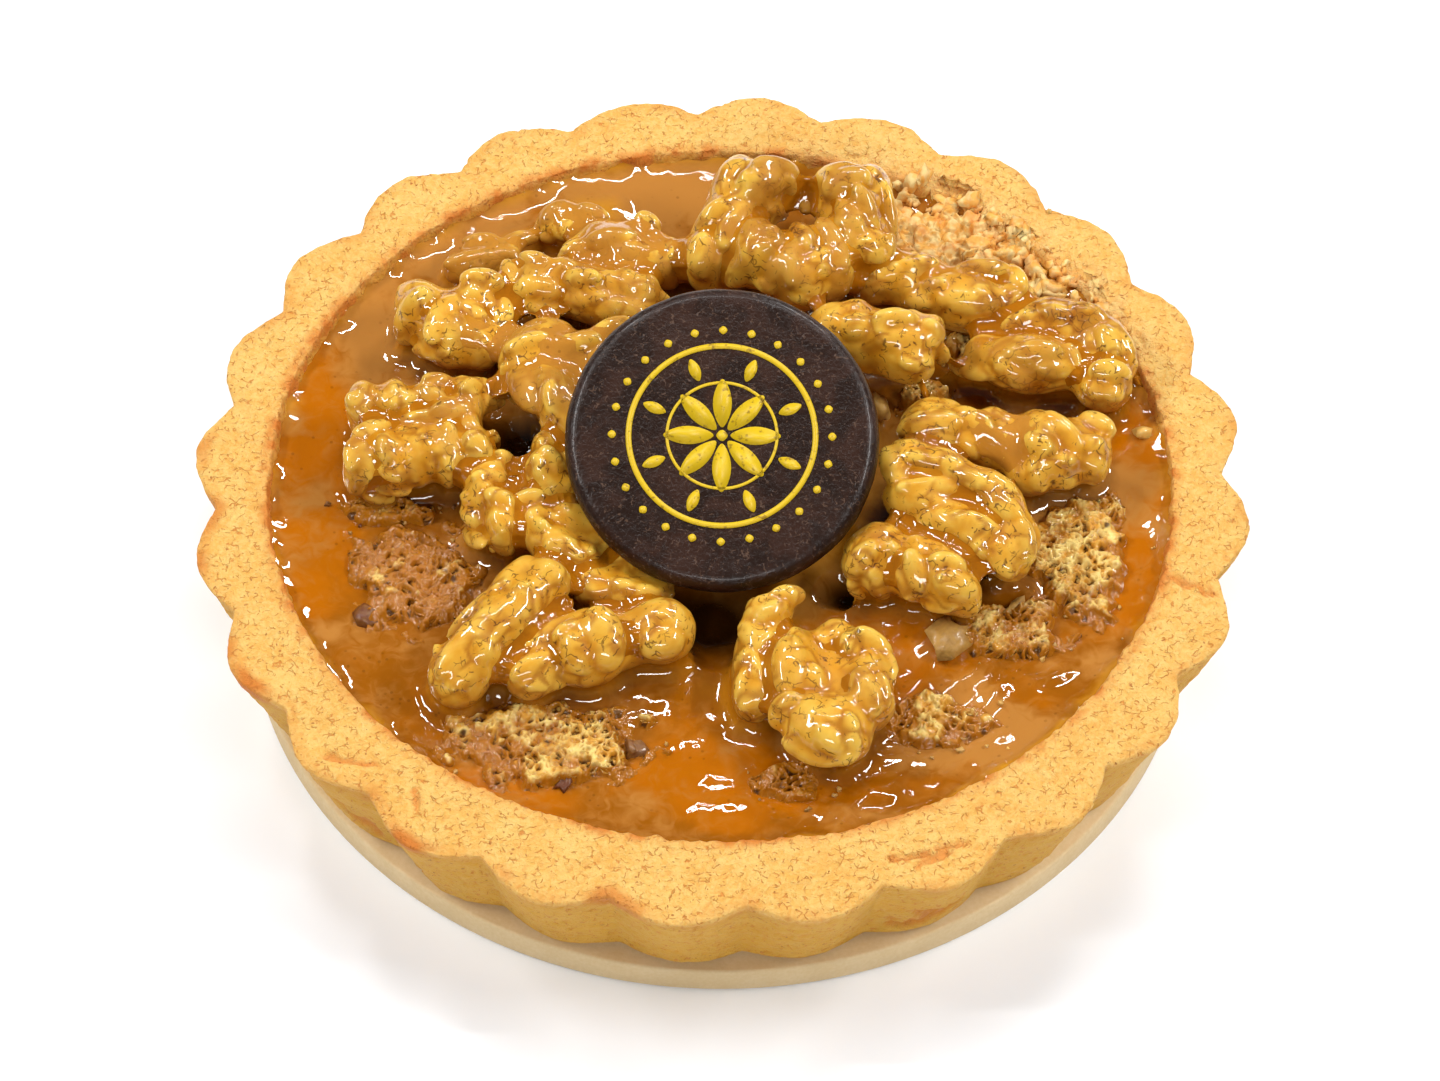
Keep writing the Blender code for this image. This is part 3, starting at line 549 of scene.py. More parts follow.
# the plump lobes of each piece, drawn over the camera view (1440 by 1081 pixels):
# from x, y to x, y, and half the width
lobes = {
    "walnut_left_half": (
        (378, 400, 392, 404, 12), (398, 402, 414, 398, 10), (420, 393, 436, 397, 12),
        (430, 380, 446, 382, 10), (466, 388, 488, 388, 12), (440, 408, 498, 402, 12),
        (408, 420, 436, 416, 9), (362, 436, 382, 430, 14), (352, 446, 352, 464, 10),
        (363, 452, 364, 474, 12), (384, 442, 387, 454, 11), (402, 432, 408, 454, 11),
        (388, 470, 398, 474, 11), (411, 464, 413, 476, 9), (424, 440, 428, 468, 9),
        (434, 432, 437, 450, 8), (449, 430, 450, 462, 11), (468, 418, 470, 428, 11),
        (474, 442, 481, 450, 14), (493, 434, 494, 450, 8), (380, 486, 404, 490, 9),
        (370, 496, 388, 498, 9), (354, 402, 362, 414, 12),
    ),
    "walnut_left_back_cluster": (
        (408, 330, 420, 302, 19), (436, 332, 452, 308, 18), (462, 308, 478, 322, 15),
        (472, 280, 492, 282, 14), (501, 298, 508, 314, 9), (478, 338, 492, 352, 12),
        (418, 350, 444, 352, 10),
    ),
    "walnut_left_back_fold": (
        (508, 268, 516, 288, 12), (526, 257, 546, 262, 9), (526, 288, 548, 290, 14),
        (533, 304, 552, 306, 12), (568, 282, 590, 278, 13), (572, 298, 598, 298, 11),
        (608, 278, 626, 290, 11), (634, 288, 664, 298, 9),
    ),
    "walnut_left_back_ridge": (
        (452, 264, 496, 256, 11), (468, 241, 492, 238, 8), (510, 240, 534, 237, 9),
    ),
    "walnut_back_left_bar": (
        (598, 242, 626, 240, 15), (622, 254, 656, 264, 20), (568, 258, 578, 250, 13),
        (645, 222, 650, 227, 13),
    ),
    "walnut_back_left_knob": (
        (558, 226, 574, 230, 14), (586, 214, 598, 220, 14), (545, 236, 553, 238, 8),
    ),
    "walnut_back_left_lobe": (
        (762, 166, 788, 172, 14), (752, 181, 770, 182, 17), (788, 180, 791, 192, 8),
        (742, 206, 728, 238, 17), (718, 210, 704, 232, 14), (702, 246, 700, 266, 15),
        (772, 210, 784, 214, 10),
    ),
    "walnut_back_front_lobe": (
        (770, 236, 775, 246, 14), (798, 230, 806, 244, 13), (824, 228, 840, 262, 15),
        (821, 268, 822, 274, 8), (791, 262, 792, 280, 11), (736, 276, 762, 252, 17),
        (760, 280, 772, 288, 10), (798, 296, 814, 298, 10),
    ),
    "walnut_back_right_lobe": (
        (836, 188, 856, 180, 17), (860, 194, 872, 226, 12), (844, 208, 856, 226, 13),
        (808, 197, 806, 207, 10), (884, 186, 893, 234, 9), (890, 240, 886, 260, 9),
        (866, 246, 876, 254, 12), (850, 236, 853, 246, 8),
    ),
    "walnut_back_right_long": (
        (874, 282, 892, 272, 15), (906, 266, 930, 265, 12), (930, 288, 938, 286, 11),
        (950, 298, 984, 302, 16), (965, 270, 1000, 269, 12), (1010, 272, 1020, 285, 12),
        (914, 298, 926, 301, 12),
    ),
    "walnut_right_back_broad": (
        (1008, 330, 1030, 318, 13), (1048, 313, 1062, 317, 12), (1080, 314, 1096, 320, 15),
        (1106, 336, 1112, 352, 13), (1086, 338, 1093, 352, 12), (1016, 355, 1050, 353, 15),
        (1006, 366, 1021, 378, 15), (1044, 367, 1062, 369, 12), (1070, 350, 1076, 366, 9),
        (955, 366, 990, 374, 11), (1102, 372, 1118, 374, 15), (1090, 388, 1096, 392, 10),
        (1108, 394, 1118, 395, 9),
    ),
    "walnut_disc_right_lobe": (
        (846, 328, 866, 327, 15), (882, 319, 908, 319, 12), (890, 340, 924, 342, 17),
        (930, 326, 938, 334, 10), (942, 350, 942, 360, 9), (908, 362, 922, 363, 10),
    ),
    "walnut_right_pair": (
        (914, 430, 946, 425, 19), (962, 418, 974, 424, 15), (967, 440, 972, 450, 12),
        (986, 424, 990, 440, 10), (1006, 440, 1010, 460, 13), (1034, 441, 1044, 447, 13),
        (1052, 420, 1074, 442, 13), (1090, 422, 1104, 429, 14), (1084, 446, 1096, 445, 12),
        (1036, 470, 1040, 483, 11), (1060, 460, 1070, 461, 9),
    ),
    "walnut_right_hook": (
        (890, 458, 900, 480, 15), (908, 457, 936, 464, 10), (906, 488, 962, 488, 12),
        (958, 471, 984, 486, 11), (990, 496, 1014, 516, 14), (1022, 528, 1027, 554, 13),
        (924, 517, 952, 524, 14), (962, 521, 988, 532, 15), (994, 544, 1007, 566, 15),
        (980, 548, 984, 554, 8),
    ),
    "walnut_right_fan": (
        (856, 567, 868, 552, 14), (873, 576, 884, 590, 14), (852, 584, 862, 594, 9),
        (888, 548, 894, 552, 10), (902, 572, 906, 594, 8), (912, 560, 922, 586, 13),
        (940, 561, 956, 565, 12), (948, 583, 964, 590, 16), (928, 604, 950, 606, 9),
    ),
    "walnut_front_middle_lobe": (
        (780, 596, 796, 595, 12), (764, 616, 778, 609, 12), (748, 628, 755, 640, 14),
        (745, 680, 745, 702, 12), (752, 658, 756, 676, 9),
    ),
    "walnut_front_half": (
        (790, 652, 790, 682, 20), (812, 674, 815, 688, 13), (782, 716, 790, 706, 17),
        (792, 744, 828, 759, 13), (842, 756, 850, 752, 12), (825, 734, 834, 744, 14),
        (848, 722, 853, 742, 12), (861, 680, 872, 704, 15), (881, 680, 885, 702, 9),
        (864, 636, 882, 650, 13), (848, 640, 855, 650, 10), (821, 637, 824, 641, 10),
        (889, 658, 892, 674, 8),
    ),
    "walnut_front_left_long": (
        (542, 588, 452, 664, 25), (522, 595, 516, 612, 15), (503, 584, 452, 632, 9),
        (438, 650, 452, 686, 9), (478, 640, 484, 676, 10), (500, 616, 474, 642, 12),
        (545, 604, 508, 640, 9),
    ),
    "walnut_front_left_bumps": (
        (600, 628, 605, 650, 24), (574, 646, 580, 660, 17), (655, 642, 666, 641, 20),
        (520, 674, 545, 660, 13), (530, 685, 560, 682, 10), (560, 636, 570, 627, 10),
        (514, 658, 526, 646, 8),
    ),
    "walnut_left_inner_folds": (
        (500, 457, 509, 465, 11), (478, 477, 504, 479, 10), (468, 497, 480, 500, 11),
        (469, 511, 476, 518, 12), (494, 497, 504, 501, 12), (468, 531, 481, 544, 11),
    ),
    "walnut_left_inner_lobe": (
        (495, 545, 512, 516, 10), (520, 502, 540, 497, 12), (520, 537, 540, 527, 14),
        (552, 517, 562, 523, 8), (556, 546, 570, 549, 13), (578, 557, 591, 566, 12),
        (600, 566, 606, 572, 10),
    ),
    "walnut_disc_left_knob": (
        (548, 456, 555, 470, 13), (544, 444, 547, 446, 9), (536, 460, 540, 474, 8),
    ),
    "walnut_disc_left_half": (
        (524, 376, 534, 398, 21), (504, 368, 514, 400, 8), (514, 350, 540, 341, 13),
        (552, 390, 556, 408, 12), (545, 422, 556, 432, 8), (556, 352, 590, 342, 15),
        (600, 332, 624, 323, 11),
    ),
    "walnut_front_inner_lobe": (
        (640, 590, 660, 598, 9), (612, 584, 630, 588, 9),
    ),
}


def focalLength():  # in pixels of the camera view
    return studio["lens"] / studio["sensor"] * studio["picture"][0]


def seenAt(across, down):  # the direction in which the camera sees a pixel
    back, sideways, upright = cameraAxes()
    width, height = studio["picture"]
    focal = focalLength()
    right, low = (across - width / 2) / focal, (down - height / 2) / focal
    return (right * sideways - low * upright - back).normalized()


def addLobes(core, node, ball):
    tree = surfaceOf(core)
    eye = Vector(studio["cameraPlace"])
    points = pointsOf(core) - np.array(eye)
    made = []
    for fromX, fromY, toX, toY, half in lobes.get(node, ()):
        ends = []
        for across, down in ((fromX, fromY), (toX, toY)):
            view = seenAt(across, down)
            depth = tree.ray_cast(eye, view)[3]
            if depth is None:  # beside the solid: as deep as its nearest point
                along = points @ np.array(view)
                beside = np.linalg.norm(points - along[:, None] * np.array(view), axis=1)
                depth = along[beside.argmin()]
            radius = half / focalLength() * depth
            ends.append(eye + view * (depth + (walnuts["flat"] - walnuts["stands"]) * radius))
        long = ends[1] - ends[0]
        flat = long.cross(view).cross(long).normalized()  # across the lobe, away from the camera
        wide = long.cross(flat).normalized()
        lobe = addObject("lobe", ball.data.copy())
        size = Matrix.Diagonal((radius, radius * walnuts["flat"], radius + long.length / 2, 1))
        turned = Matrix((wide, flat, long.normalized())).transposed().to_4x4()
        lobe.data.transform(Matrix.Translation((ends[0] + ends[1]) / 2) @ turned @ size)
        made.append(lobe)
    return made


def bulgeOf(obj, passes):  # how far each point stands out from the blurred shape
    blurred = addObject("blurred", obj.data.copy())
    smooth(blurred, passes)
    away = pointsOf(obj) - pointsOf(blurred)
    bpy.data.objects.remove(blurred)
    return (away * normalsOf(obj)).sum(axis=1)


def makeWalnut(node, number, material, ball):
    obj = addObject(node.replace("walnut", "nut"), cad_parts[node].data.copy())
    weld(obj, 0.001 * mm)
    plump = addLobes(obj, node, ball)
    remesh(obj, walnuts["coreVoxel"])
    smooth(obj, walnuts["corePasses"])
    moveOut(obj, -walnuts["coreShrink"])
    joinInto(obj, plump)
    remesh(obj, walnuts["voxel"])
    smooth(obj, walnuts["smoothPasses"])
    points, normals = pointsOf(obj), normalsOf(obj)
    swell = walnuts["dimple"] * softNoise(points, walnuts["dimpleSize"], 1, number)
    swell += walnuts["wrinkle"] * softNoise(points, walnuts["wrinkleSize"], 2, number + 0.5)
    bent = pushed(points, *walnuts["grooveBend"], (number + 40, number + 50, number + 60))
    near, second = cells(bent, walnuts["grooveSize"], number)
    grooved = eased(softNoise(points, walnuts["grooveAreas"], 1, number + 70.0), -0.25, 0.15)
    groove = (1 - eased(second - near, 0.02, 0.24)) * grooved
    setPoints(obj, points + normals * (swell - walnuts["groove"] * groove)[:, None])

    bulge = bulgeOf(obj, walnuts["bulgePasses"])
    brown = inPatches(points[:, 0], points[:, 1], walnuts["brownPlaces"], 0.6)
    # painted shade: lower faces that turn sideways or down are made browner
    low = (1 - eased(points[:, 2], *walnuts["shadedBelow"])) * (1 - eased(normals[:, 2], -0.1, 0.7))
    uneven = eased(softNoise(points, 2.5 * mm, 2, number + 90.0), -0.4, 0.3)
    amount = walnuts["films"].get(node, walnuts["film"])
    film = amount * 2 * eased(softNoise(points, 6 * mm, 2, 31.0), 0.25 - amount, 0.55 - amount)
    # ridges are painted paler: the kernel's own paler lobes, and painted highlight
    setValues(obj, "ridge", eased(bulge, -0.05 * mm, 0.30 * mm))
    # brown holds the skin left on and the painted shade of the low sides
    setValues(obj, "brown", np.maximum(brown * uneven, low * (0.4 + 0.6 * uneven)))
    # creases: darker amber for caramel pooled in them, and painted shade
    setValues(obj, "crease", np.maximum(1 - eased(bulge, -0.14 * mm, 0.02 * mm), 0.75 * groove))
    setValues(obj, "film", np.clip(film, 0, 1))
    finishPiece(obj, material, "walnut", node)
    return obj


def glazedWalnut():
    material, skin, place = newMaterial("glazedWalnut", {
        "Roughness": 0.45, "Specular IOR Level": 0.15, "Coat Weight": 0.9, "Coat Roughness": 0.03,
        "Coat IOR": 1.45, "Subsurface Weight": 0.12, "Subsurface Radius": (1.0, 0.5, 0.12),
        "Subsurface Scale": 1.0 * mm})
    # paler on the ridges, partly painted highlight
    tone = place.grain(3.2 * mm, 3, 0.4) * 0.7 + place.stored("ridge") * 0.45
    colour = tone.between(0.22, 0.72).mix(walnuts["gold"], walnuts["pale"])
    # brown skin, and painted shade on the low sides
    colour = (place.stored("brown") * 0.75).mix(colour, walnuts["amber"])
    # darker amber in the creases: pooled caramel and painted shade
    colour = (place.stored("crease") * 0.85).mix(colour, walnuts["amber"])
    colour = (place.stored("film") * 0.85).mix(colour, walnuts["milk"])
    bent = place.warped(1.5 * mm, 1.8 * mm)
    brokenUp = place.areas(0.9 * mm, 0.47, 0.53, 1) * place.areas(4 * mm, 0.46, 0.54)
    hair = bent.seams(2.4 * mm, 0.0, 0.055) * brokenUp
    dashes = bent.seams(1.1 * mm, 0.01, 0.08) * place.areas(1.5 * mm, 0.58, 0.66)
    specks = place.dots(0.8 * mm, 0.10, 0.17) * place.areas(2.2 * mm, 0.58, 0.63)
    veins = bent.seams(1.6 * mm, 0.0, 0.07) * place.stored("brown").between(0.2, 0.8)
    marks = (hair * 0.85).most(dashes * 0.7).most(specks * 0.8).most(veins * 0.7)
    bare = 1 - place.stored("film") * 0.6
    feed(skin, "Base Color", (marks * bare).mix(colour, walnuts["skin"]))
    feedBump(skin, place.grain(1.4 * mm, 2, 0.5) * 0.8 + place.grain(0.5 * mm, 2) * 0.1, *walnuts["bump"])
    return material


def makeWalnuts():
    clearSelection()
    bpy.ops.mesh.primitive_ico_sphere_add(subdivisions=3, radius=1)
    ball = bpy.context.object
    material = glazedWalnut()
    nodes = sorted(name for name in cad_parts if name.startswith("walnut_"))
    made = [makeWalnut(node, number, material, ball) for number, node in enumerate(nodes)]
    bpy.data.objects.remove(ball)
    print("walnuts made:", len(made), "pieces,", sum(len(o.data.polygons) for o in made), "faces")
    return made


# caramel: a pool that climbs the wall and the nuts, and fills the hollows between them
caramel = {
    "squares": 250,
    "level": 21.5 * mm,
    "mound": 1.6 * mm,
    "moundReach": 30.0 * mm,
    "waves": 0.32 * mm,      # slow swells over the pool: heights and sizes
    "waveSize": 13 * mm,
    "smallWaves": 0.22 * mm,
    "smallWaveSize": 5 * mm,
    "ripples": 0.36 * mm,    # rings round the middle, highest at one place near the wall
    "rippleStep": 0.75 * mm,
    "rippledAt": math.radians(-52),
    "intoWall": 1.4 * mm,    # how far the pool runs into the crust
    "climb": 1.5 * mm,       # rise of its edge at the wall, and how wide that is
    "climbWidth": 1.5 * mm,
    "thickness": 3.0 * mm,
    "voxel": 0.5 * mm,
    "bridge": 1.10 * mm,     # half of the widest gap that it fills
    "fusePasses": 3,
    "smoothPasses": 6,
    "bulgePasses": 20,
    "uneven": 0.10 * mm,
    "unevenSize": 3.0 * mm,
    "sink": 0.29 * mm,       # how far the nuts stand out of it
    "cutAt": 18.8 * mm,      # below this the pool goes straight down, drawn in by a share
    "drawnIn": 0.95,
    "faces": 194000,
    "bump": (0.26, 0.4 * mm),
    "brown": paint(160, 91, 8),
    "orange": paint(192, 106, 1),
    "milky": paint(196, 131, 57),
    # the first of the next two is painted shade for the hollows round the nuts and also the colour of the
    # dark grains; the second, near black, is the painted shadow in the pits
    "dark": paint(92, 50, 4),
    "deepestShade": paint(46, 22, 3),
    "gold": paint(220, 150, 34),
    "amber": paint(180, 108, 12),
    # ovals of milky caramel, of orange caramel, and those where it covers the nuts (mm)
    "milkPatches": ((-36, 42, 14, 9), (-9, 53, 14, 6), (33, -38, 9, 7), (50, 2, 7, 7),
                    (-20, 16, 12, 9), (-44, 27, 5, 7), (-30, -28, 4, 6)),
    "orangePatches": ((2, -46, 14, 6), (55, -8, 6, 14), (-55, -6, 6, 13), (20, -26, 10, 8),
                      (57, 14, 5, 10), (-55, 12, 6, 14), (-30, -48, 10, 4)),
    "covers": ((-16, 17, 12, 8), (-13, 38, 9, 6), (-31, 38, 9, 6), (-19, 46, 9, 5),
               (38, 5, 5, 5), (30, 36, 7, 4), (-29, 21, 8, 3), (36, 6, 4, 4)),
    "coverThickness": 0.10 * mm,
    # dark pits, where a near-black painted shadow lies in the shade under the disc's edge and between the
    # nuts, and how deep they are
    "pits": ((-1, -20, 7, 6), (19, -15.5, 5, 2.5), (-27, 10, 3.4, 2.6)),
    "pitDepth": 2.2 * mm,
    # where it lies higher between nuts, the last number being by how much
    "fills": ((-25.4, 43.0, 4.5, 3.2, 2.4), (-17.5, 49.5, 4.0, 3.0, 1.4)),
    # how far the surface lies below its surroundings: squares and blur of that reckoning
    "creviceSquare": 0.6 * mm,
    "creviceSquares": 220,
    "creviceBlur": 15,
}


def moundHeight(x, y):
    return caramel["mound"] * np.exp(-(x ** 2 + y ** 2) / caramel["moundReach"] ** 2)


def poolHeight(x, y):
    flat = np.stack((x, y, np.zeros(len(x))), axis=1)
    waves = caramel["waves"] * softNoise(flat, caramel["waveSize"], 1, 2.0)
    waves = waves + caramel["smallWaves"] * softNoise(flat, caramel["smallWaveSize"], 2, 4.0)
    ripples = np.sin(np.hypot(x, y) / caramel["rippleStep"] + 3.5 * softNoise(flat, 8 * mm, 2, 6.0))
    turn = np.arctan2(y, x)
    rippled = np.clip(np.cos(turn - caramel["rippledAt"]), 0, 1) ** 6
    rippled = rippled * eased(np.hypot(x, y), 32 * mm, 40 * mm)
    wallGap = (1 - holeShare(x, y)) * crust["holeY"]
    beads = 0.8 + 0.8 * softNoise(flat, 2.6 * mm, 3, 8.0)
    climb = caramel["climb"] * beads * np.exp(-np.maximum(wallGap, 0) / caramel["climbWidth"])
    for fill in caramel["fills"]:
        climb += fill[4] * mm * inPatches(x, y, [fill[:4]], 1.2)
    bare = inPatches(x, y, [patch[:4] for patch in crumb["patches"]], 0.7)
    # the pits dip the pool where the painted shadow lies
    shadowPit = inPatches(x, y, caramel["pits"], 1.0)
    height = caramel["level"] + moundHeight(x, y) + waves
    height = height + caramel["ripples"] * ripples * (0.08 + 0.92 * rippled) + climb
    return height - 0.6 * mm * bare - caramel["pitDepth"] * shadowPit


# the painted shade in the caramel's hollows is reckoned from this
def crevices(points):  # how far each point lies below its wider surroundings
    square, count = caramel["creviceSquare"], caramel["creviceSquares"]
    column = np.clip((points[:, 0] / square + count / 2).astype(int), 0, count - 1)
    row = np.clip((points[:, 1] / square + count / 2).astype(int), 0, count - 1)
    tops = np.full((count, count), caramel["level"])
    np.maximum.at(tops, (row, column), points[:, 2])
    window = np.hanning(caramel["creviceBlur"])
    window = window / window.sum()
    for axis in (0, 1):
        tops = np.apply_along_axis(lambda line: np.convolve(line, window, "same"), axis, tops)
    return tops[row, column] - points[:, 2]


def closeBelow(pool):  # the pool is cut off flat, and a plain block goes down to the filling's underside
    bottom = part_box("filling")[0].z
    pickOnly(pool)
    bpy.ops.object.mode_set(mode="EDIT")
    bpy.ops.mesh.select_all(action="SELECT")
    bpy.ops.mesh.bisect(plane_co=(0, 0, caramel["cutAt"]), plane_no=(0, 0, 1), clear_inner=True)
    bpy.ops.mesh.extrude_edges_move(TRANSFORM_OT_translate={"value": (0, 0, bottom - caramel["cutAt"])})
    bpy.ops.transform.resize(value=(caramel["drawnIn"], caramel["drawnIn"], 1),
                             center_override=(0, crust["holeCentreY"], bottom))
    bpy.ops.mesh.edge_face_add()
    bpy.ops.mesh.select_all(action="SELECT")
    bpy.ops.mesh.normals_make_consistent(inside=False)
    bpy.ops.object.mode_set(mode="OBJECT")


def makeCaramel(nuts):
    clearSelection()
    count = caramel["squares"]
    bpy.ops.mesh.primitive_grid_add(x_subdivisions=count, y_subdivisions=count, size=2)
    pool = bpy.context.object
    pool.name = pool.data.name = "caramel"
    square = pointsOf(pool)
    x = square[:, 0] * np.sqrt(1 - square[:, 1] ** 2 / 2) * (crust["holeX"] + caramel["intoWall"])
    y = square[:, 1] * np.sqrt(1 - square[:, 0] ** 2 / 2) * (crust["holeY"] + caramel["intoWall"])
    y += crust["holeCentreY"]
    setPoints(pool, np.stack((x, y, poolHeight(x, y)), axis=1))
    useModifier(pool, "SOLIDIFY", thickness=caramel["thickness"], offset=-1)
    joinInto(pool, [addObject("fillCopy", nut.data.copy()) for nut in nuts])
    remesh(pool, caramel["voxel"])
    moveOut(pool, caramel["bridge"])  # swollen, fused and shrunk again, which closes narrow gaps
    remesh(pool, caramel["voxel"])
    smooth(pool, caramel["fusePasses"])
    moveOut(pool, -caramel["bridge"])
    smooth(pool, caramel["smoothPasses"])

    points, normals = pointsOf(pool), normalsOf(pool)
    covers = inPatches(points[:, 0], points[:, 1], caramel["covers"], 0.8)
    covers *= eased(softNoise(points, 4 * mm, 2, 11.0), -0.5, 0.0) * eased(normals[:, 2], -0.1, 0.4)
    onNuts = eased(points[:, 2], 22.6 * mm, 23.6 * mm)
    sink = caramel["sink"] * onNuts - (caramel["sink"] + caramel["coverThickness"]) * covers * onNuts
    sink -= caramel["uneven"] * softNoise(points, caramel["unevenSize"], 2, 17.0) * (1 - 0.6 * onNuts)
    setPoints(pool, points - normals * sink[:, None])
    closeBelow(pool)
    triangles = sum(len(face.vertices) - 2 for face in pool.data.polygons)
    print("caramel before thinning:", triangles, "triangles")
    if triangles > caramel["faces"]:
        useModifier(pool, "DECIMATE", ratio=caramel["faces"] / triangles)

    points = pointsOf(pool)
    x, y, height = points.T
    swirl = softNoise(points, 9 * mm, 3, 15.0)
    onCovers = inPatches(x, y, caramel["covers"], 0.8) * eased(height, 23 * mm, 25 * mm)
    onNut = eased(height, 22.0 * mm, 23.4 * mm) * (1 - 0.6 * onCovers)
    # darker amber in the caramel's creases on the nuts: caramel pooled there, and painted shade
    crease = 1 - eased(bulgeOf(pool, caramel["bulgePasses"]), -0.20 * mm, 0.05 * mm)
    milk = np.maximum(inPatches(x, y, caramel["milkPatches"], 1.0), onCovers) + 0.8 * swirl
    orange = inPatches(x, y, caramel["orangePatches"], 1.0) - 0.6 * swirl
    # the pits get a near-black painted shadow, fading where the surface rises
    shadowPit = inPatches(x, y, caramel["pits"], 1.0) * (1 - eased(height, 22 * mm, 25 * mm))
    setValues(pool, "shadowPit", shadowPit)
    setValues(pool, "milk", np.clip(milk, 0, 1))
    setValues(pool, "orange", np.clip(orange, 0, 1))
    # painted shade: darker where the surface lies below its surroundings
    setValues(pool, "deep", eased(crevices(points), 1.0 * mm, 4.8 * mm))
    setValues(pool, "onNut", onNut)
    setValues(pool, "crease", crease * onNut)
    finishPiece(pool, softCaramel(), "caramel", "filling")
    print("caramel made")
    return pool


def softCaramel():
    material, skin, place = newMaterial("softCaramel", {
        "Roughness": 0.03, "Coat Weight": 0.4, "Coat Roughness": 0.0, "Specular IOR Level": 0.45,
        "Subsurface Weight": 0.08, "Subsurface Radius": (1.0, 0.55, 0.20), "Subsurface Scale": 1.5 * mm})
    cloud = place.grain(6 * mm, 5, 1.8)
    wisps = place.warped(4 * mm, 5 * mm).grain(2.5 * mm, 3, 0.8)
    orange = (place.stored("orange") * 0.8 + cloud * 0.9).between(0.35, 1.15)
    colour = orange.mix(caramel["brown"], caramel["orange"])
    milk = (place.stored("milk") * 0.65 + cloud * 0.4 + wisps * 0.8).between(0.52, 1.10)
    colour = milk.mix(colour, caramel["milky"])
    # creases darker amber: pooled caramel and painted shade
    thin = place.stored("crease").mix(caramel["gold"], caramel["amber"])
    colour = place.stored("onNut").mix(colour, thin)
    # painted shade in the hollows round the nuts
    colour = (place.stored("deep") * 0.45).mix(colour, caramel["dark"])
    # painted shadow in the pits
    colour = place.stored("shadowPit").mix(colour, caramel["deepestShade"])
    grains = place.dots(1.3 * mm, 0.12, 0.22) * place.areas(5 * mm, 0.5, 0.62)
    feed(skin, "Base Color", (grains * 0.35).mix(colour, caramel["dark"]))
    feedBump(skin, place.grain(2.8 * mm, 1, 0.8), *caramel["bump"])
    return material


# patches of bare crumb in the caramel
crumb = {
    # centre, half sizes (mm), how high it stands (mm) and how soaked it is (below 0 its holes are paler)
    "patches": ((-40.0, -13.5, 10.5, 9.5, 0.9, 0.42), (-22.5, -40.0, 15.0, 8.5, 1.0, 0.0),
                (48.0, -9.5, 8.0, 12.0, 1.2, 0.05), (27.5, -36.5, 9.0, 5.5, 0.8, -0.12),
                (9.0, -45.5, 5.5, 4.0, 0.6, 0.3), (33.0, 46.0, 13.0, 6.5, 1.6, -0.35),
                (38.5, -21.0, 8.0, 6.0, 1.1, 0.3), (-44.0, -2.5, 7.0, 2.8, 1.2, 0.5),
                (33.2, 26.0, 4.0, 3.0, 1.6, 0.4), (27.5, 17.0, 4.5, 2.8, 3.4, 0.4)),
    "pastryPatch": 5,       # counted from 0: this one is crumbled crust
    "spacing": 0.145 * mm,
    "reach": 1.3,           # the mesh goes this far, in half sizes
    "thickness": 1.0 * mm,
    "depth": 1.9 * mm,      # how far its edge dips under the caramel
    "ragged": 4.5 * mm,     # size of the bays in its outline
    "lump": 3.6 * mm,
    "lumpHeight": 0.65 * mm,
    "rough": 0.22 * mm,
    "roughSize": 1.0 * mm,
    "holes": 1.35 * mm,
    "holeDepth": 0.95 * mm,
    "holeAreas": 2.6 * mm,
    "holeBend": (0.5 * mm, 1.3 * mm),
    "finerHoles": 0.62 * mm,
    "finerDepth": 0.35 * mm,
    "overhang": 0.35 * mm,  # how far the surface is pushed sideways
    "overhangSize": 1.5 * mm,
    "chunkSize": 2.4 * mm,  # of the crumbled crust
    "chunkHeight": 0.7 * mm,
    "chunkSeam": 0.5 * mm,
    "within": 61 * mm,      # a radius inside the crust's wall, where every patch ends
    "bump": (0.5, 0.2 * mm),
    "cream": paint(254, 222, 130),
    "golden": paint(228, 162, 52),
    "soaked": paint(184, 112, 4),
    "burnt": paint(70, 34, 6),
}


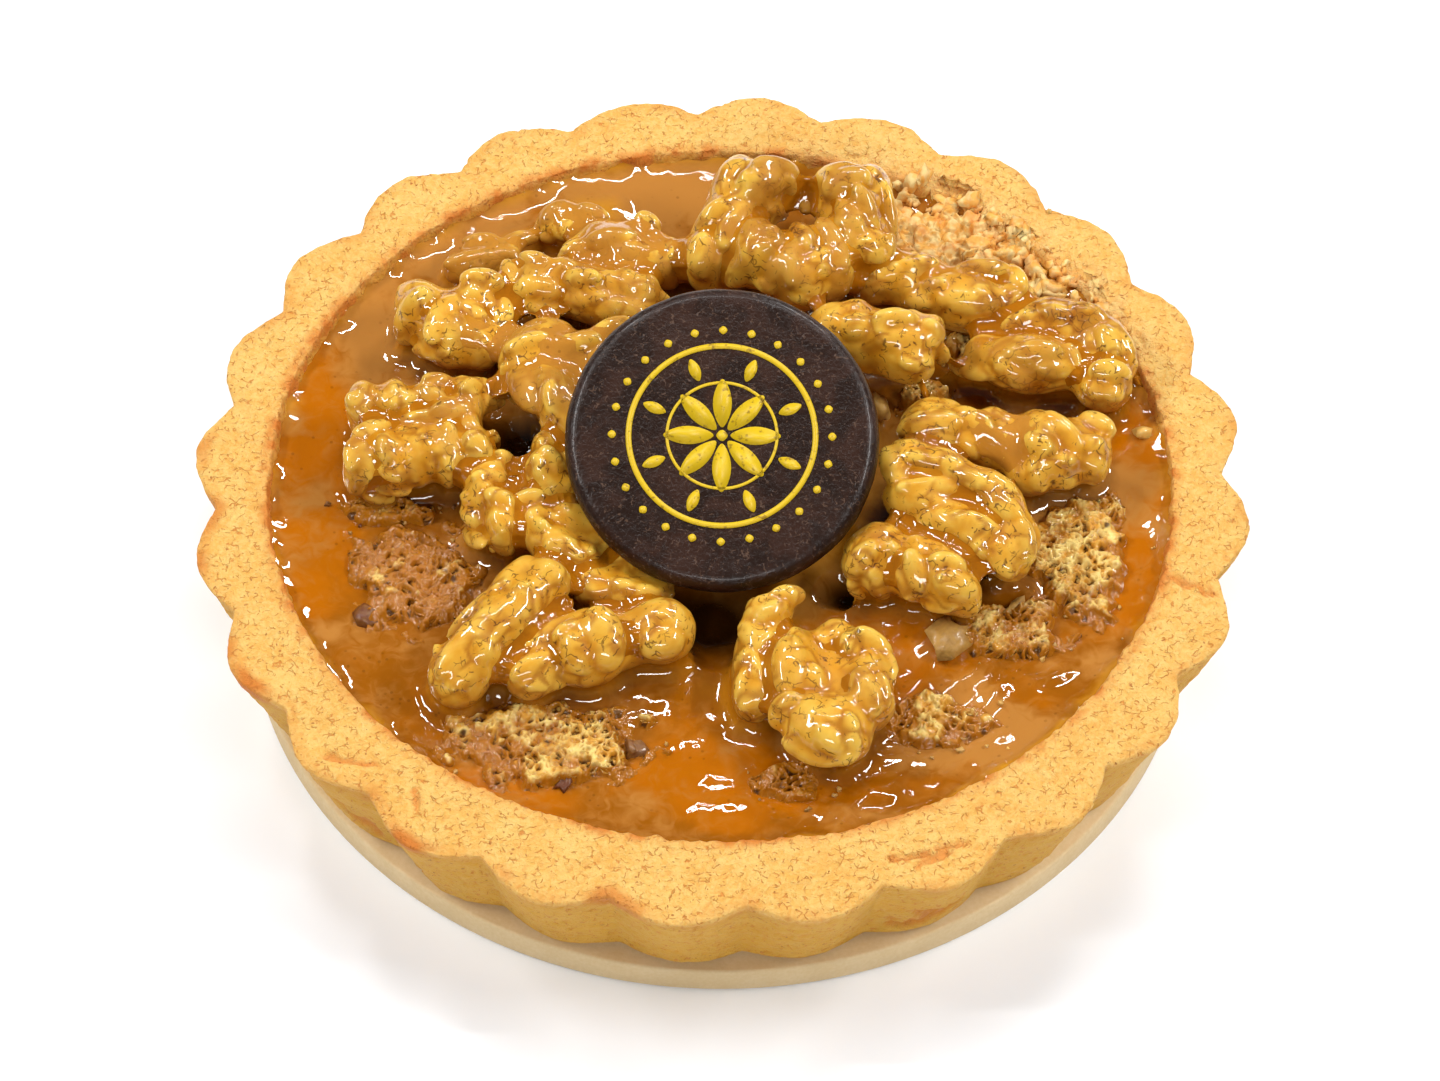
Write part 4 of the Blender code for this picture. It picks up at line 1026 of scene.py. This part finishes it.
def makeCrumbPatch(number, patch, material):
    cx, cy, halfX, halfY, rise, soaked = patch
    reach = crumb["reach"]
    clearSelection()
    bpy.ops.mesh.primitive_grid_add(x_subdivisions=int(2 * reach * halfX * mm / crumb["spacing"]),
                                    y_subdivisions=int(2 * reach * halfY * mm / crumb["spacing"]), size=2)
    obj = bpy.context.object
    obj.name = obj.data.name = f"crumbPatch{number + 1}"
    square = pointsOf(obj)
    u = square[:, 0] * np.sqrt(1 - square[:, 1] ** 2 / 2) * reach
    v = square[:, 1] * np.sqrt(1 - square[:, 0] ** 2 / 2) * reach
    points = np.stack(((cx + halfX * u) * mm, (cy + halfY * v) * mm, np.zeros(len(u))), axis=1)
    ragged = softNoise(points, crumb["ragged"], 3, number * 5.0 + 1.0)
    away = np.hypot(u, v)
    inside = eased(1.15 - away + 0.42 * ragged, 0.0, 0.55) * (1 - eased(away, 1.15, 1.29))
    lump = softNoise(points, crumb["lump"], 3, number * 5.0)
    bent = pushed(points, *crumb["holeBend"], (number + 30, number + 35, number + 38))
    near, second = cells(bent, crumb["holes"], number + 2.0)
    holed = eased(softNoise(points, crumb["holeAreas"], 1, number + 3.0), -0.25, 0.15)
    bigHole = eased(second - near, 0.10, 0.50) * holed
    near, second = cells(bent, crumb["finerHoles"], number + 8.0)
    smallHole = eased(second - near, 0.12, 0.50)
    height = -crumb["depth"] + (crumb["depth"] + rise * mm) * inside + crumb["lumpHeight"] * lump
    height += crumb["rough"] * softNoise(points, crumb["roughSize"], 2, number + 4.0)
    dents = crumb["holeDepth"] * bigHole + crumb["finerDepth"] * smallHole
    if number == crumb["pastryPatch"]:
        chunk, seam = chunks(bent, crumb["chunkSize"], 5.0)
        height += crumb["chunkHeight"] * chunk * inside
        dents = 0.25 * dents + crumb["chunkSeam"] * (1 - eased(seam, 0.0, 0.25))
    points[:, 2] = caramel["level"] + height - dents * inside
    points[:, 2] += moundHeight(points[:, 0], points[:, 1])
    size = crumb["overhangSize"]
    sideways = np.stack([softNoise(points, size, 1, number + 20.0 + k) for k in range(2)], axis=1)
    points[:, :2] += crumb["overhang"] * sideways
    radius = np.hypot(points[:, 0], points[:, 1])
    points[:, :2] *= (np.minimum(radius, crumb["within"]) / radius)[:, None]
    setPoints(obj, points)
    wet = 1 - eased(height, 0.0, 1.5 * mm)
    # holes: darker for caramel soaked into them, and painted shade
    setValues(obj, "hole", np.clip(bigHole + 0.55 * smallHole, 0, 1) * (1 + min(soaked, 0)))
    setValues(obj, "soaked", np.clip(soaked + wet, 0, 1))
    setValues(obj, "toast", 0.25 + 0.5 * eased(softNoise(points, 3 * mm, 2, 44.0), -0.1, 0.4))
    useModifier(obj, "SOLIDIFY", thickness=crumb["thickness"], offset=-1)
    finishPiece(obj, material, "caramel")


def spongeCrumb():
    material, skin, place = newMaterial("spongeCrumb", {
        "Roughness": 0.42, "Coat Roughness": 0.04, "Specular IOR Level": 0.25, "Subsurface Weight": 0.05,
        "Subsurface Radius": (1.0, 0.5, 0.15), "Subsurface Scale": 0.8 * mm})
    tone = place.grain(1.6 * mm, 4, 0.4)
    soaked = (place.stored("soaked") * 0.8 + place.grain(3 * mm, 3, 0.4) * 1.1).between(0.62, 1.08)
    colour = tone.between(0.38, 0.62).mix(crumb["golden"], crumb["cream"])
    colour = soaked.mix(colour, crumb["soaked"])
    # holes take the soaked colour: caramel in them, and painted shade
    colour = (place.stored("hole") * 0.75).mix(colour, crumb["soaked"])
    dark = place.dots(2.4 * mm, 0.10, 0.30) * place.areas(3.2 * mm, 0.52, 0.60, 3)
    # the deepest holes go nearly black: painted shade
    deepestShade = place.stored("hole").between(0.6, 1.0) * 0.8
    feed(skin, "Base Color", (dark.most(deepestShade) * 0.9).mix(colour, crumb["burnt"]))
    feed(skin, "Coat Weight", soaked * 0.45 + 0.3)
    feedBump(skin, place.grain(0.4 * mm, 3), *crumb["bump"])
    return material


# loose crumbs round the bare patches, and a few bits that stand alone
bits = {
    "perPatch": 9,
    "sizes": (0.18 * mm, 0.5 * mm),  # half sizes, from and to
    "lowest": 19 * mm,
    "highest": 24.2 * mm,  # none lie on the walnuts
    "above": 60 * mm,      # the height from which a place to lie is looked for
    "raised": 0.25,        # how far its middle is above the surface, as a share of its half height
    "squarer": 0.7,        # below 1 gives blunt corners
    # the crumbled inner edge of the crust: from and to (degrees, mm), how many, and half sizes
    "edge": ((26, 66), (55.0, 61.0), 110, (0.5 * mm, 1.5 * mm)),
    "edgeCentreY": 1.2,
    # x, y (mm), half sizes (mm), how dark
    "single": ((-10.6, -41.0, 1.5, 1.4, 1.2, 0.9), (-19.5, -45.5, 2.2, 1.0, 1.0, 1.0),
               (-46.0, -20.0, 1.9, 1.6, 1.0, 0.95), (29.8, -23.0, 2.4, 3.3, 2.2, 0.5),
               (21.4, 15.2, 1.4, 2.3, 2.2, 0.35), (-10.9, 44.3, 1.3, 1.2, 1.2, 0.3),
               (-43.8, -1.0, 1.8, 1.1, 0.9, 0.1), (31.5, 20.5, 1.5, 1.0, 1.0, 0.4),
               (39.0, -17.5, 1.8, 1.2, 1.2, 0.5), (56.5, 11.7, 1.0, 1.4, 1.0, 0.1)),
    "bump": (0.4, 0.2 * mm),
    "pale": paint(252, 198, 98),
    "dark": paint(112, 54, 10),
    "cream": paint(255, 224, 150),
    "orange": paint(253, 190, 90),
    "baked": paint(240, 146, 54),
}


def looseBits(chance):
    wanted = [(*row[:2], *[size * mm for size in row[2:5]], row[5]) for row in bits["single"]]
    for cx, cy, halfX, halfY, _, soaked in crumb["patches"]:
        for _ in range(bits["perPatch"]):
            turn, away = chance.uniform(0, 2 * math.pi), chance.uniform(0.7, 1.3)
            size = bits["sizes"][0] + (bits["sizes"][1] - bits["sizes"][0]) * chance.random() ** 2
            sizes = [size * chance.uniform(0.6, 1.2) for _ in range(3)]
            wanted.append((cx + halfX * away * math.cos(turn), cy + halfY * away * math.sin(turn), *sizes,
                           min(1, chance.random() * 0.6 + soaked)))
    return wanted


def edgeBits(chance):
    angles, radii, count, sizes = bits["edge"]
    wanted = []
    for _ in range(count):
        turn, radius = math.radians(chance.uniform(*angles)), chance.uniform(*radii)
        size = sizes[0] + (sizes[1] - sizes[0]) * chance.random() ** 1.5
        wanted.append((radius * math.cos(turn), radius * math.sin(turn) + bits["edgeCentreY"],
                       *[size * chance.uniform(0.5, 1.4) for _ in range(3)], chance.random()))
    return wanted


def makeBits(name, slot, wanted, surfaces, material, chance):
    clearSelection()
    bpy.ops.mesh.primitive_ico_sphere_add(subdivisions=2, radius=1)
    ball = bpy.context.object
    made = []
    for number, (x, y, sizeX, sizeY, sizeZ, dark) in enumerate(wanted):
        above = Vector((x * mm, y * mm, bits["above"]))
        hits = [tree.ray_cast(above, Vector((0, 0, -1)))[0] for tree in surfaces]
        top = max((hit for hit in hits if hit), key=lambda hit: hit.z)
        if not bits["lowest"] < top.z < bits["highest"]:
            continue
        bit = addObject("bit", ball.data.copy())
        points = pointsOf(bit)
        points = np.sign(points) * np.abs(points) ** bits["squarer"]
        lumpy = (0.8 + 0.8 * softNoise(points, 0.75, 3, number * 1.3))[:, None]
        points *= lumpy * np.array((sizeX, sizeY, sizeZ))
        spin = Matrix.Rotation(chance.uniform(0, math.pi), 3, "Z")
        setPoints(bit, points @ np.array(spin) + np.array(top) + np.array((0, 0, bits["raised"] * sizeZ)))
        setValues(bit, "tint", np.full(len(points), dark))
        setValues(bit, "toast", np.full(len(points), 0.6 * (1 - dark)))
        made.append(bit)
    bpy.data.objects.remove(ball)
    joinInto(made[0], made[1:])
    obj = made[0]
    obj.name = obj.data.name = name
    finishPiece(obj, material, slot)


def looseCrumb():
    material, skin, place = newMaterial("looseCrumb", {
        "Roughness": 0.45, "Coat Weight": 0.2, "Coat Roughness": 0.04, "Subsurface Weight": 0.04,
        "Subsurface Radius": (1.0, 0.5, 0.15), "Subsurface Scale": 0.8 * mm})
    tint = place.stored("tint") + place.grain(0.8 * mm, 3) * 0.4 - 0.2
    feed(skin, "Base Color", tint.mix(bits["pale"], bits["dark"]))
    feedBump(skin, place.grain(0.5 * mm, 3), *bits["bump"])
    return material


def crumbledPastry():
    material, skin, place = newMaterial("crumbledPastry", {"Roughness": 0.65, "Specular IOR Level": 0.3})
    colour = place.areas(1.4 * mm, 0.40, 0.60, 3).mix(bits["orange"], bits["cream"])
    colour = (place.stored("toast") * place.areas(3 * mm, 0.4, 0.6)).mix(colour, bits["baked"])
    feed(skin, "Base Color", colour)
    feedBump(skin, place.grain(0.5 * mm, 3), *bits["bump"])
    return material


def makeCrumbs(*pieces):
    sponge, pastry = spongeCrumb(), crumbledPastry()
    for number, patch in enumerate(crumb["patches"]):
        makeCrumbPatch(number, patch, pastry if number == crumb["pastryPatch"] else sponge)
    surfaces = [surfaceOf(piece) for piece in pieces]
    chance = random.Random(41)
    makeBits("looseCrumbs", "caramel", looseBits(chance), surfaces, looseCrumb(), chance)
    makeBits("crustCrumbs", "crust", edgeBits(chance), surfaces, pastry, chance)
    print("crumb patches made")


# the chocolate disc, tipped towards the front, with a plain ornament
chocolate = {
    "around": 160,
    "along": 60,
    "radius": 20.6 * mm,
    "thickness": 3.9 * mm,
    "rounding": 1.9 * mm,
    "topCentre": (0.1 * mm, -1.5 * mm, 37.2 * mm),
    "tilt": math.radians(22.5),
    "wave": 0.10 * mm,       # low uneven relief, lower under the ornament
    "waveSize": 6 * mm,
    "rough": 0.03 * mm,
    "roughSize": 1.2 * mm,
    "bump": (0.6, 0.2 * mm),
    "brown": paint(54, 27, 13),
    "darker": paint(36, 17, 7),
    "bloom": paint(120, 92, 74),
}

# the ornament: how many, how long and wide, and how far from the middle
ornament = {
    "petals": (8, 6.6 * mm, 2.5 * mm, 4.4 * mm),
    "outerPetals": (8, 3.2 * mm, 1.5 * mm, 9.6 * mm),
    "beads": (24, 1.1 * mm, 1.1 * mm, 14.4 * mm),
    "middle": 1.5 * mm,
    "rings": ((12.6 * mm, 0.75 * mm), (7.4 * mm, 0.4 * mm)),  # radius and width
    "thickness": 0.06 * mm,
    "lifted": 0.02 * mm,
    "bump": (0.2, 0.1 * mm),
    "yellow": paint(238, 198, 14),
    "worn": paint(176, 138, 20),
}


def tipOnto(obj):  # from the level disc's own plane to the top of the tipped disc
    place = Matrix.Translation(chocolate["topCentre"]) @ Matrix.Rotation(chocolate["tilt"], 4, "X")
    obj.data.transform(place)
    obj.data.update()


def discPlace(turn, share):  # out along the underside, round the edge and back over the top
    bend, half = chocolate["rounding"], chocolate["thickness"] / 2
    core = chocolate["radius"] - bend
    edgeFrom, edgeTo = 0.25, 0.55
    swing = np.interp(share, (edgeFrom, edgeTo), (-math.pi / 2, math.pi / 2))
    below, above = core * share / edgeFrom, core * (1 - share) / (1 - edgeTo)
    edge = core + bend * np.cos(swing)
    radius = np.where(share < edgeFrom, below, np.where(share > edgeTo, above, edge))
    return radius * np.cos(turn), radius * np.sin(turn), half * np.sin(swing) - half


def darkChocolate():
    material, skin, place = newMaterial("darkChocolate", {
        "Specular IOR Level": 0.28, "Coat Weight": 0.12, "Coat Roughness": 0.14})
    cloud = place.grain(5 * mm, 5, 0.8)
    bent = place.warped(0.8 * mm, 1.0 * mm)
    scratches = bent.seams(1.1 * mm, 0.0, 0.07) * place.areas(0.9 * mm, 0.54, 0.62)
    dots = bent.dots(0.6 * mm, 0.08, 0.20) * place.areas(2.2 * mm, 0.42, 0.56, 3)
    colour = cloud.between(0.38, 0.64).mix(chocolate["darker"], chocolate["brown"])
    bloom = (scratches * 0.55).most(dots * 0.7)
    feed(skin, "Base Color", bloom.mix(colour, chocolate["bloom"]))
    feed(skin, "Roughness", cloud * 0.2 + 0.26)
    fine, coarse = place.grain(0.55 * mm, 4, 0.8), place.grain(2.5 * mm, 3)
    feedBump(skin, fine + coarse * 0.8, *chocolate["bump"])
    return material


def makeDisc():
    obj = rolledPiece("chocolateDisc", chocolate["around"], chocolate["along"], discPlace)
    points, normals = pointsOf(obj), normalsOf(obj)
    lift = chocolate["wave"] * softNoise(points, chocolate["waveSize"], 2, 1.0)
    lift += chocolate["rough"] * softNoise(points, chocolate["roughSize"], 2, 2.0)
    outer = eased(np.hypot(points[:, 0], points[:, 1]), 13.5 * mm, 17 * mm)
    setPoints(obj, points + normals * (lift * (0.25 + 0.75 * outer))[:, None])
    tipOnto(obj)
    finishPiece(obj, darkChocolate(), "chocolate", "chocolate_disc")


def flatOval(length, width, reach, turn):  # a petal, narrower at its two ends
    bpy.ops.mesh.primitive_circle_add(vertices=28, radius=1, fill_type="NGON")
    petal = bpy.context.object
    points = pointsOf(petal)
    pointed = 1 - 0.35 * points[:, 0] ** 2
    points = np.stack((points[:, 0] * length / 2 + reach, points[:, 1] * width / 2 * pointed,
                       np.zeros(len(points))), axis=1)
    setPoints(petal, points @ np.array(Matrix.Rotation(-turn, 3, "Z")))
    return petal


def flatRing(radius, width):
    bpy.ops.mesh.primitive_circle_add(vertices=128, radius=radius, fill_type="NGON")
    ring = bpy.context.object
    bpy.ops.object.mode_set(mode="EDIT")
    bpy.ops.mesh.select_all(action="SELECT")
    bpy.ops.mesh.inset(thickness=width)
    bpy.ops.mesh.delete(type="FACE")
    bpy.ops.object.mode_set(mode="OBJECT")
    return ring


def ovalsRound(row, start):
    count, length, width, reach = row
    return [flatOval(length, width, reach, start + 2 * math.pi * k / count) for k in range(count)]


def makeOrnament():
    clearSelection()
    shapes = [flatRing(radius, width) for radius, width in ornament["rings"]]
    shapes += ovalsRound(ornament["petals"], math.pi / 2)
    shapes += ovalsRound(ornament["outerPetals"], math.pi / 2 + math.pi / ornament["petals"][0])
    shapes += ovalsRound(ornament["beads"], 0)
    shapes.append(flatOval(ornament["middle"], ornament["middle"], 0, 0))
    joinInto(shapes[0], shapes[1:])
    obj = shapes[0]
    obj.name = obj.data.name = "discOrnament"
    useModifier(obj, "SOLIDIFY", thickness=ornament["thickness"], offset=1)
    weld(obj, 0.001 * mm)
    setPoints(obj, pointsOf(obj) + np.array((0, 0, ornament["lifted"])))
    tipOnto(obj)
    material, skin, place = newMaterial("yellowPrint", {"Roughness": 0.42, "Specular IOR Level": 0.4})
    unworn = place.areas(0.8 * mm, 0.30, 0.42, 4)
    feed(skin, "Base Color", unworn.mix(ornament["worn"], ornament["yellow"]))
    feedBump(skin, place.grain(0.5 * mm, 3), *ornament["bump"])
    finishPiece(obj, material, "chocolate")
    print("chocolate disc made")


# floor, light and camera, in metres and watts
studio = {
    "floorColour": (0.90, 0.92, 0.95, 1.0),
    "floorSize": 6,
    "floorBelow": 0.0004,
    "floorGlow": 0.075,
    "skyStrength": 0.06,
    "aim": (0, 0, 0.02),
    # name: place, width and height, power; each is aimed at the tart
    "lights": {
        "left": ((-0.70, 0.05, 0.75), 0.50, 0.07, 5.3),
        "right": ((0.70, 0.00, 0.75), 0.50, 0.07, 5.8),
        "backLeft": ((-0.40, 0.55, 0.80), 0.12, 0.12, 2.0),
        "backRight": ((0.40, 0.76, 0.68), 0.24, 0.045, 3.2),
        "backStrip": ((0.0, 0.31, 0.85), 0.50, 0.014, 2.2),
        "front": ((0.0, -0.85, 0.70), 0.60, 0.10, 4.1),
    },
    "cameraPlace": (0.0, -0.49289, 0.64810),
    "cameraElevation": math.radians(52.19),
    "cameraRoll": math.radians(0.67),
    "lens": 150,
    "sensor": 36,
    "picture": (1440, 1081),  # the camera view in pixels
}


def cameraAxes():  # backwards, sideways and upright directions of the tilted camera
    lean, roll = studio["cameraElevation"], studio["cameraRoll"]
    back = Vector((0, -math.cos(lean), math.sin(lean)))
    up = Vector((0, math.sin(lean), math.cos(lean)))
    right = Vector((1, 0, 0))
    return back, math.cos(roll) * right + math.sin(roll) * up, math.cos(roll) * up - math.sin(roll) * right


def makeStudio():
    clearSelection()
    bpy.ops.mesh.primitive_plane_add(size=studio["floorSize"], location=(0, 0, -studio["floorBelow"]))
    floor = bpy.context.object
    floor.name = "floor"
    material, _, _ = newMaterial("paleFloor", {
        "Base Color": studio["floorColour"], "Roughness": 0.9, "Specular IOR Level": 0.1,
        "Emission Color": studio["floorColour"], "Emission Strength": studio["floorGlow"]})
    floor.data.materials.append(material)

    world = bpy.data.worlds.new("softRoom")
    world.use_nodes = True
    world.node_tree.nodes["Background"].inputs["Color"].default_value = (1, 1, 1, 1)
    world.node_tree.nodes["Background"].inputs["Strength"].default_value = studio["skyStrength"]
    bpy.context.scene.world = world
    for name, (place, width, height, watts) in studio["lights"].items():
        lamp = bpy.data.lights.new(name, "AREA")
        lamp.shape = "RECTANGLE"
        lamp.size = width
        lamp.size_y = height
        lamp.energy = watts
        light = addObject(name, lamp)
        light.location = place
        light.rotation_euler = (Vector(studio["aim"]) - Vector(place)).to_track_quat("-Z", "Y").to_euler()

    back, sideways, upright = cameraAxes()
    lens = bpy.data.cameras.new("camera")
    lens.lens = studio["lens"]
    lens.sensor_width = studio["sensor"]
    camera = addObject("camera", lens)
    turned = Matrix((sideways, upright, back)).transposed().to_4x4()
    camera.matrix_world = Matrix.Translation(studio["cameraPlace"]) @ turned
    bpy.context.scene.camera = camera
    bpy.context.scene.view_settings.view_transform = "Standard"
    print("studio made")


makeCard()
shell = makeCrust()
nuts = makeWalnuts()
pool = makeCaramel(nuts)
makeCrumbs(shell, pool)
makeDisc()
makeOrnament()
makeStudio()
clearSelection()
